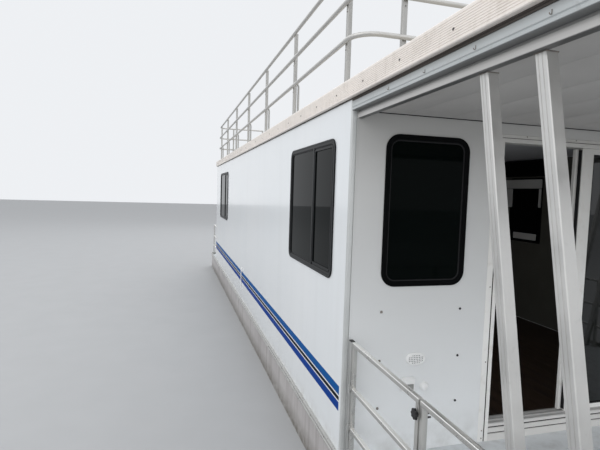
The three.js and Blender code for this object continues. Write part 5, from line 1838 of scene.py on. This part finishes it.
# half width, front and back from the steering axis, height
TRAY_ROWS = [(0.1, 0.0, 0.3, 1.0305), (0.14, -0.07, 0.345, 1.04),
             (0.149, -0.088, 0.358, 1.055), (0.149, -0.088, 0.358, 1.0695)]
HOUSING_ROWS = [(0.046, 0.068, 0.185, 0.4405), (0.055, 0.063, 0.195, 0.47),
                (0.058, 0.063, 0.198, 0.62), (0.058, 0.064, 0.199, 0.9),
                (0.072, 0.064, 0.23, 1.031)]
STRUT_ROWS = [(0.024, -0.045, 0.195, PROP_Z), (0.026, -0.05, 0.2, 0.29),
              (0.03, -0.055, 0.205, 0.38), (0.056, -0.02, 0.17, 0.473)]
leg = Shape()
leg.rings([squared_ring(*ring) for ring in TRAY_ROWS], caps=True)
leg.rings([squared_ring(*ring) for ring in eased(HOUSING_ROWS, 4)], caps=True)
for half, z0, z1 in ((0.069, 0.931, 0.969), (0.059, 0.441, 0.479)):
    leg.rings([squared_ring(half - cut, -0.044 + cut, 0.079 - cut, z, 0.4)
               for cut, z in ((0.003, z0), (0, z0 + 0.003), (0, z1 - 0.003), (0.003, z1))],
              caps=True)
leg.rings([strut_ring(*ring) for ring in eased(STRUT_ROWS, 5)], caps=True)
leg.rings([squared_ring(half, -0.038 + (0.094 - half), 0.339, z, 0.5)
           for half, z in ((0.091, 0.3725), (0.094, 0.3745), (0.094, 0.3795), (0.091, 0.3815))],
          caps=True)
# distance aft of the steering axis, height
FIN = [(0.07, 0.19), (0.225, 0.19), (0.228, 0.09), (0.2, 0.032), (0.17, 0.031),
       (0.11, 0.1)]
leg.rings([[(x, STEER_Y + y, z) for y, z in FIN] for x in (-0.0065, 0.0065)], caps=True)
# radius, distance aft of the steering axis
GEARCASE = [(0.004, -0.11), (0.02, -0.104), (0.036, -0.08), (0.048, -0.045), (0.0535, -0.01),
            (0.0535, 0.18), (0.05, 0.24), (0.046, 0.2795)]
SHAFT = [(0.0125, 0.27), (0.0125, 0.356), (0.009, 0.3598)]
leg.turned(GEARCASE, (0, STEER_Y, PROP_Z), (0, 1, 0), sides=40)
leg.turned(SHAFT, (0, STEER_Y, PROP_Z), (0, 1, 0), sides=24)
leg.piece("motor_leg_casting", motor_paint, "motor_leg", smooth=40, body="motor")

# %% [markdown]
# The cover is a pan and a cowl that meet at a seam. Easing can swell a stack past its rings, so
# three limits hold it inside the frame's cover. Rubber shows in the seam and the air slots, and a
# cast catch holds the cowl down.

# %% Motor cover
COVER_ROWS = [(0.174, -0.094, 0.384, 1.0715), (0.19, -0.103, 0.396, 1.1),
              (0.1945, -0.1045, 0.399, 1.145), (0.1945, -0.1045, 0.399, 1.16),
              (0.193, -0.103, 0.3995, 1.25), (0.185, -0.094, 0.3995, 1.38),
              (0.172, -0.074, 0.39, 1.455), (0.146, -0.028, 0.352, 1.5),
              (0.1, 0.03, 0.29, 1.516), (0.04, 0.09, 0.21, 1.5198)]
COVER_FRONT, COVER_BACK, COVER_TOP = -0.1048, 0.3998, 1.5198
SEAM_Z = 1.152
pan = [ring for ring in COVER_ROWS if ring[3] < SEAM_Z]
cowl = [ring for ring in COVER_ROWS if ring[3] > SEAM_Z]


def lofted_cover(rings, steps):
    return [squared_ring(half, max(front, COVER_FRONT), min(back, COVER_BACK), min(z, COVER_TOP))
            for half, front, back, z in eased(rings, steps)]


cover = Shape().rings(lofted_cover(pan, 4), caps=True)
cover.rings(lofted_cover(cowl, 5), caps=True)
cover.piece("motor_cover_shell", motor_paint, "motor_cover", smooth=40, body="motor")

seam = Shape().rings([squared_ring(0.1905, -0.1005, 0.395, z) for z in (1.144, 1.161)], caps=True)
seam.piece("motor_cover_seam", rubber, body="motor")
VENTS, FIRST_VENT, VENT_STEP, VENT_HIGH = 4, 1.345, 0.016, 0.008
vents = Shape()
for z in [FIRST_VENT + VENT_STEP * i for i in range(VENTS)]:
    vents.block((-0.075, STEER_Y + 0.392, z), (0.075, STEER_Y + 0.3997, z + VENT_HIGH))
vents.piece("motor_cover_vents", rubber, bevel=0.001, body="motor")
catch = Shape().block((-0.03, STEER_Y + COVER_FRONT, 1.128), (0.03, STEER_Y - 0.096, 1.176))
catch.piece("motor_cover_catch", motor_cast, bevel=0.003, body="motor")

# %% [markdown]
# A blade is a thin foil that twists: steep near the hub, flat at the tip. Its pitch angle at a
# radius follows from how far it screws forward in a turn. The other two are the same rings turned
# by a third.

# %% Propeller
PROP_Y, PITCH_LENGTH, BLADES = at(9.92), 0.26, 3
HUB_HALF, BORE = 0.0385, 0.014
# radius, chord, sweep round the hub in degrees, thickness
BLADE_ROWS = [(0.036, 0.06, 0, 0.011), (0.055, 0.082, 4, 0.0085), (0.078, 0.098, 10, 0.0062),
              (0.1, 0.09, 19, 0.0045), (0.115, 0.062, 28, 0.003), (0.1225, 0.02, 34, 0.0016)]


def blade_ring(radius, chord, sweep, thick, turn, count=18):
    pitch = atan2(PITCH_LENGTH, 2 * pi * radius)
    ring = []
    for i in range(count):
        t = 2 * pi * i / count
        along, across = chord / 2 * cos(t), thick / 2 * sin(t)
        round_hub = (along * cos(pitch) - across * sin(pitch)) / radius + radians(sweep) + turn
        aft = along * sin(pitch) + across * cos(pitch)
        ring.append((radius * sin(round_hub), PROP_Y + aft, PROP_Z + radius * cos(round_hub)))
    return ring


blades = Shape()
for i in range(BLADES):
    blades.rings([blade_ring(*foil, 2 * pi * i / BLADES) for foil in eased(BLADE_ROWS, 3)],
                 caps=True)
blades.turned([(BORE, -HUB_HALF), (0.036, -HUB_HALF), (0.041, -HUB_HALF + 0.006), (0.042, 0.0),
               (0.039, HUB_HALF - 0.004), (0.036, HUB_HALF), (BORE, HUB_HALF)],
              (0, PROP_Y, PROP_Z), (0, 1, 0), sides=40)
blades.piece("propeller_casting", motor_paint, "propeller", smooth=40, body="propeller")

# %% [markdown]
# The boat is shown afloat, so a pale studio floor lies at its waterline.

# %% Studio floor
floor = Shape().sheet(rounded(-60, 60, -60, 60, 4, 8), (WATERLINE - 0.02, WATERLINE), flat)
floor_finish = painted("studio_floor", (0.42, 0.425, 0.43), 0.75, 1.03, 60.0)
floor.object("studio_floor", floor_finish)
print("floor at", WATERLINE)

# %% [markdown]
# The light is a soft studio: big panels overhead, ahead and to starboard, where it comes from in
# the photo, weaker ones to port and astern, and a small lamp in the cabin. A pale sky fills the
# shade.


# %% Light and sky
def softbox(name, place, target, size, power, color=(1, 1, 1)):
    light = bpy.data.lights.new(name, "AREA")
    light.shape, light.size, light.size_y = "RECTANGLE", *size
    light.energy, light.color = power, color
    stand = bpy.data.objects.new(name, light)
    scene.collection.objects.link(stand)
    turn = (Vector(target) - Vector(place)).to_track_quat("-Z", "Y")
    stand.matrix_world = Matrix.Translation(place) @ turn.to_matrix().to_4x4()


softbox("sky_overhead", (-4.0, 2.0, 14.0), (-4.0, 2.001, 0), (24, 30), 1000, (0.97, 0.985, 1.0))
softbox("sky_starboard", (-14.0, -6.0, 9.0), (0, 0, 1.5), (12, 8), 350, (1.0, 0.985, 0.96))
softbox("sky_port", (13.0, -8.0, 9.0), (0, 0, 1.5), (10, 8), 150, (0.93, 0.96, 1.0))
softbox("sky_stern", (2.0, 16.0, 9.0), (0, 3, 1.5), (10, 6), 150, (0.95, 0.97, 1.0))
softbox("sky_bow", (-2.0, -18.0, 3.0), (0, -4, 1.2), (16, 4), 260, (1.0, 0.99, 0.97))
softbox("cabin_lamp", (-1.2, at(1.2), 1.1), (1.7, at(2.6), 2.7), (0.5, 0.5), 6)

world = bpy.data.worlds.new("studio_sky")
world.use_nodes = True
scene.world = world
sky = world.node_tree.nodes["Background"]
sky.inputs["Color"].default_value = (0.95, 0.97, 1.0, 1)
sky.inputs["Strength"].default_value = 0.9
scene.view_settings.view_transform = "Standard"
print(len(bpy.data.lights), "lights")
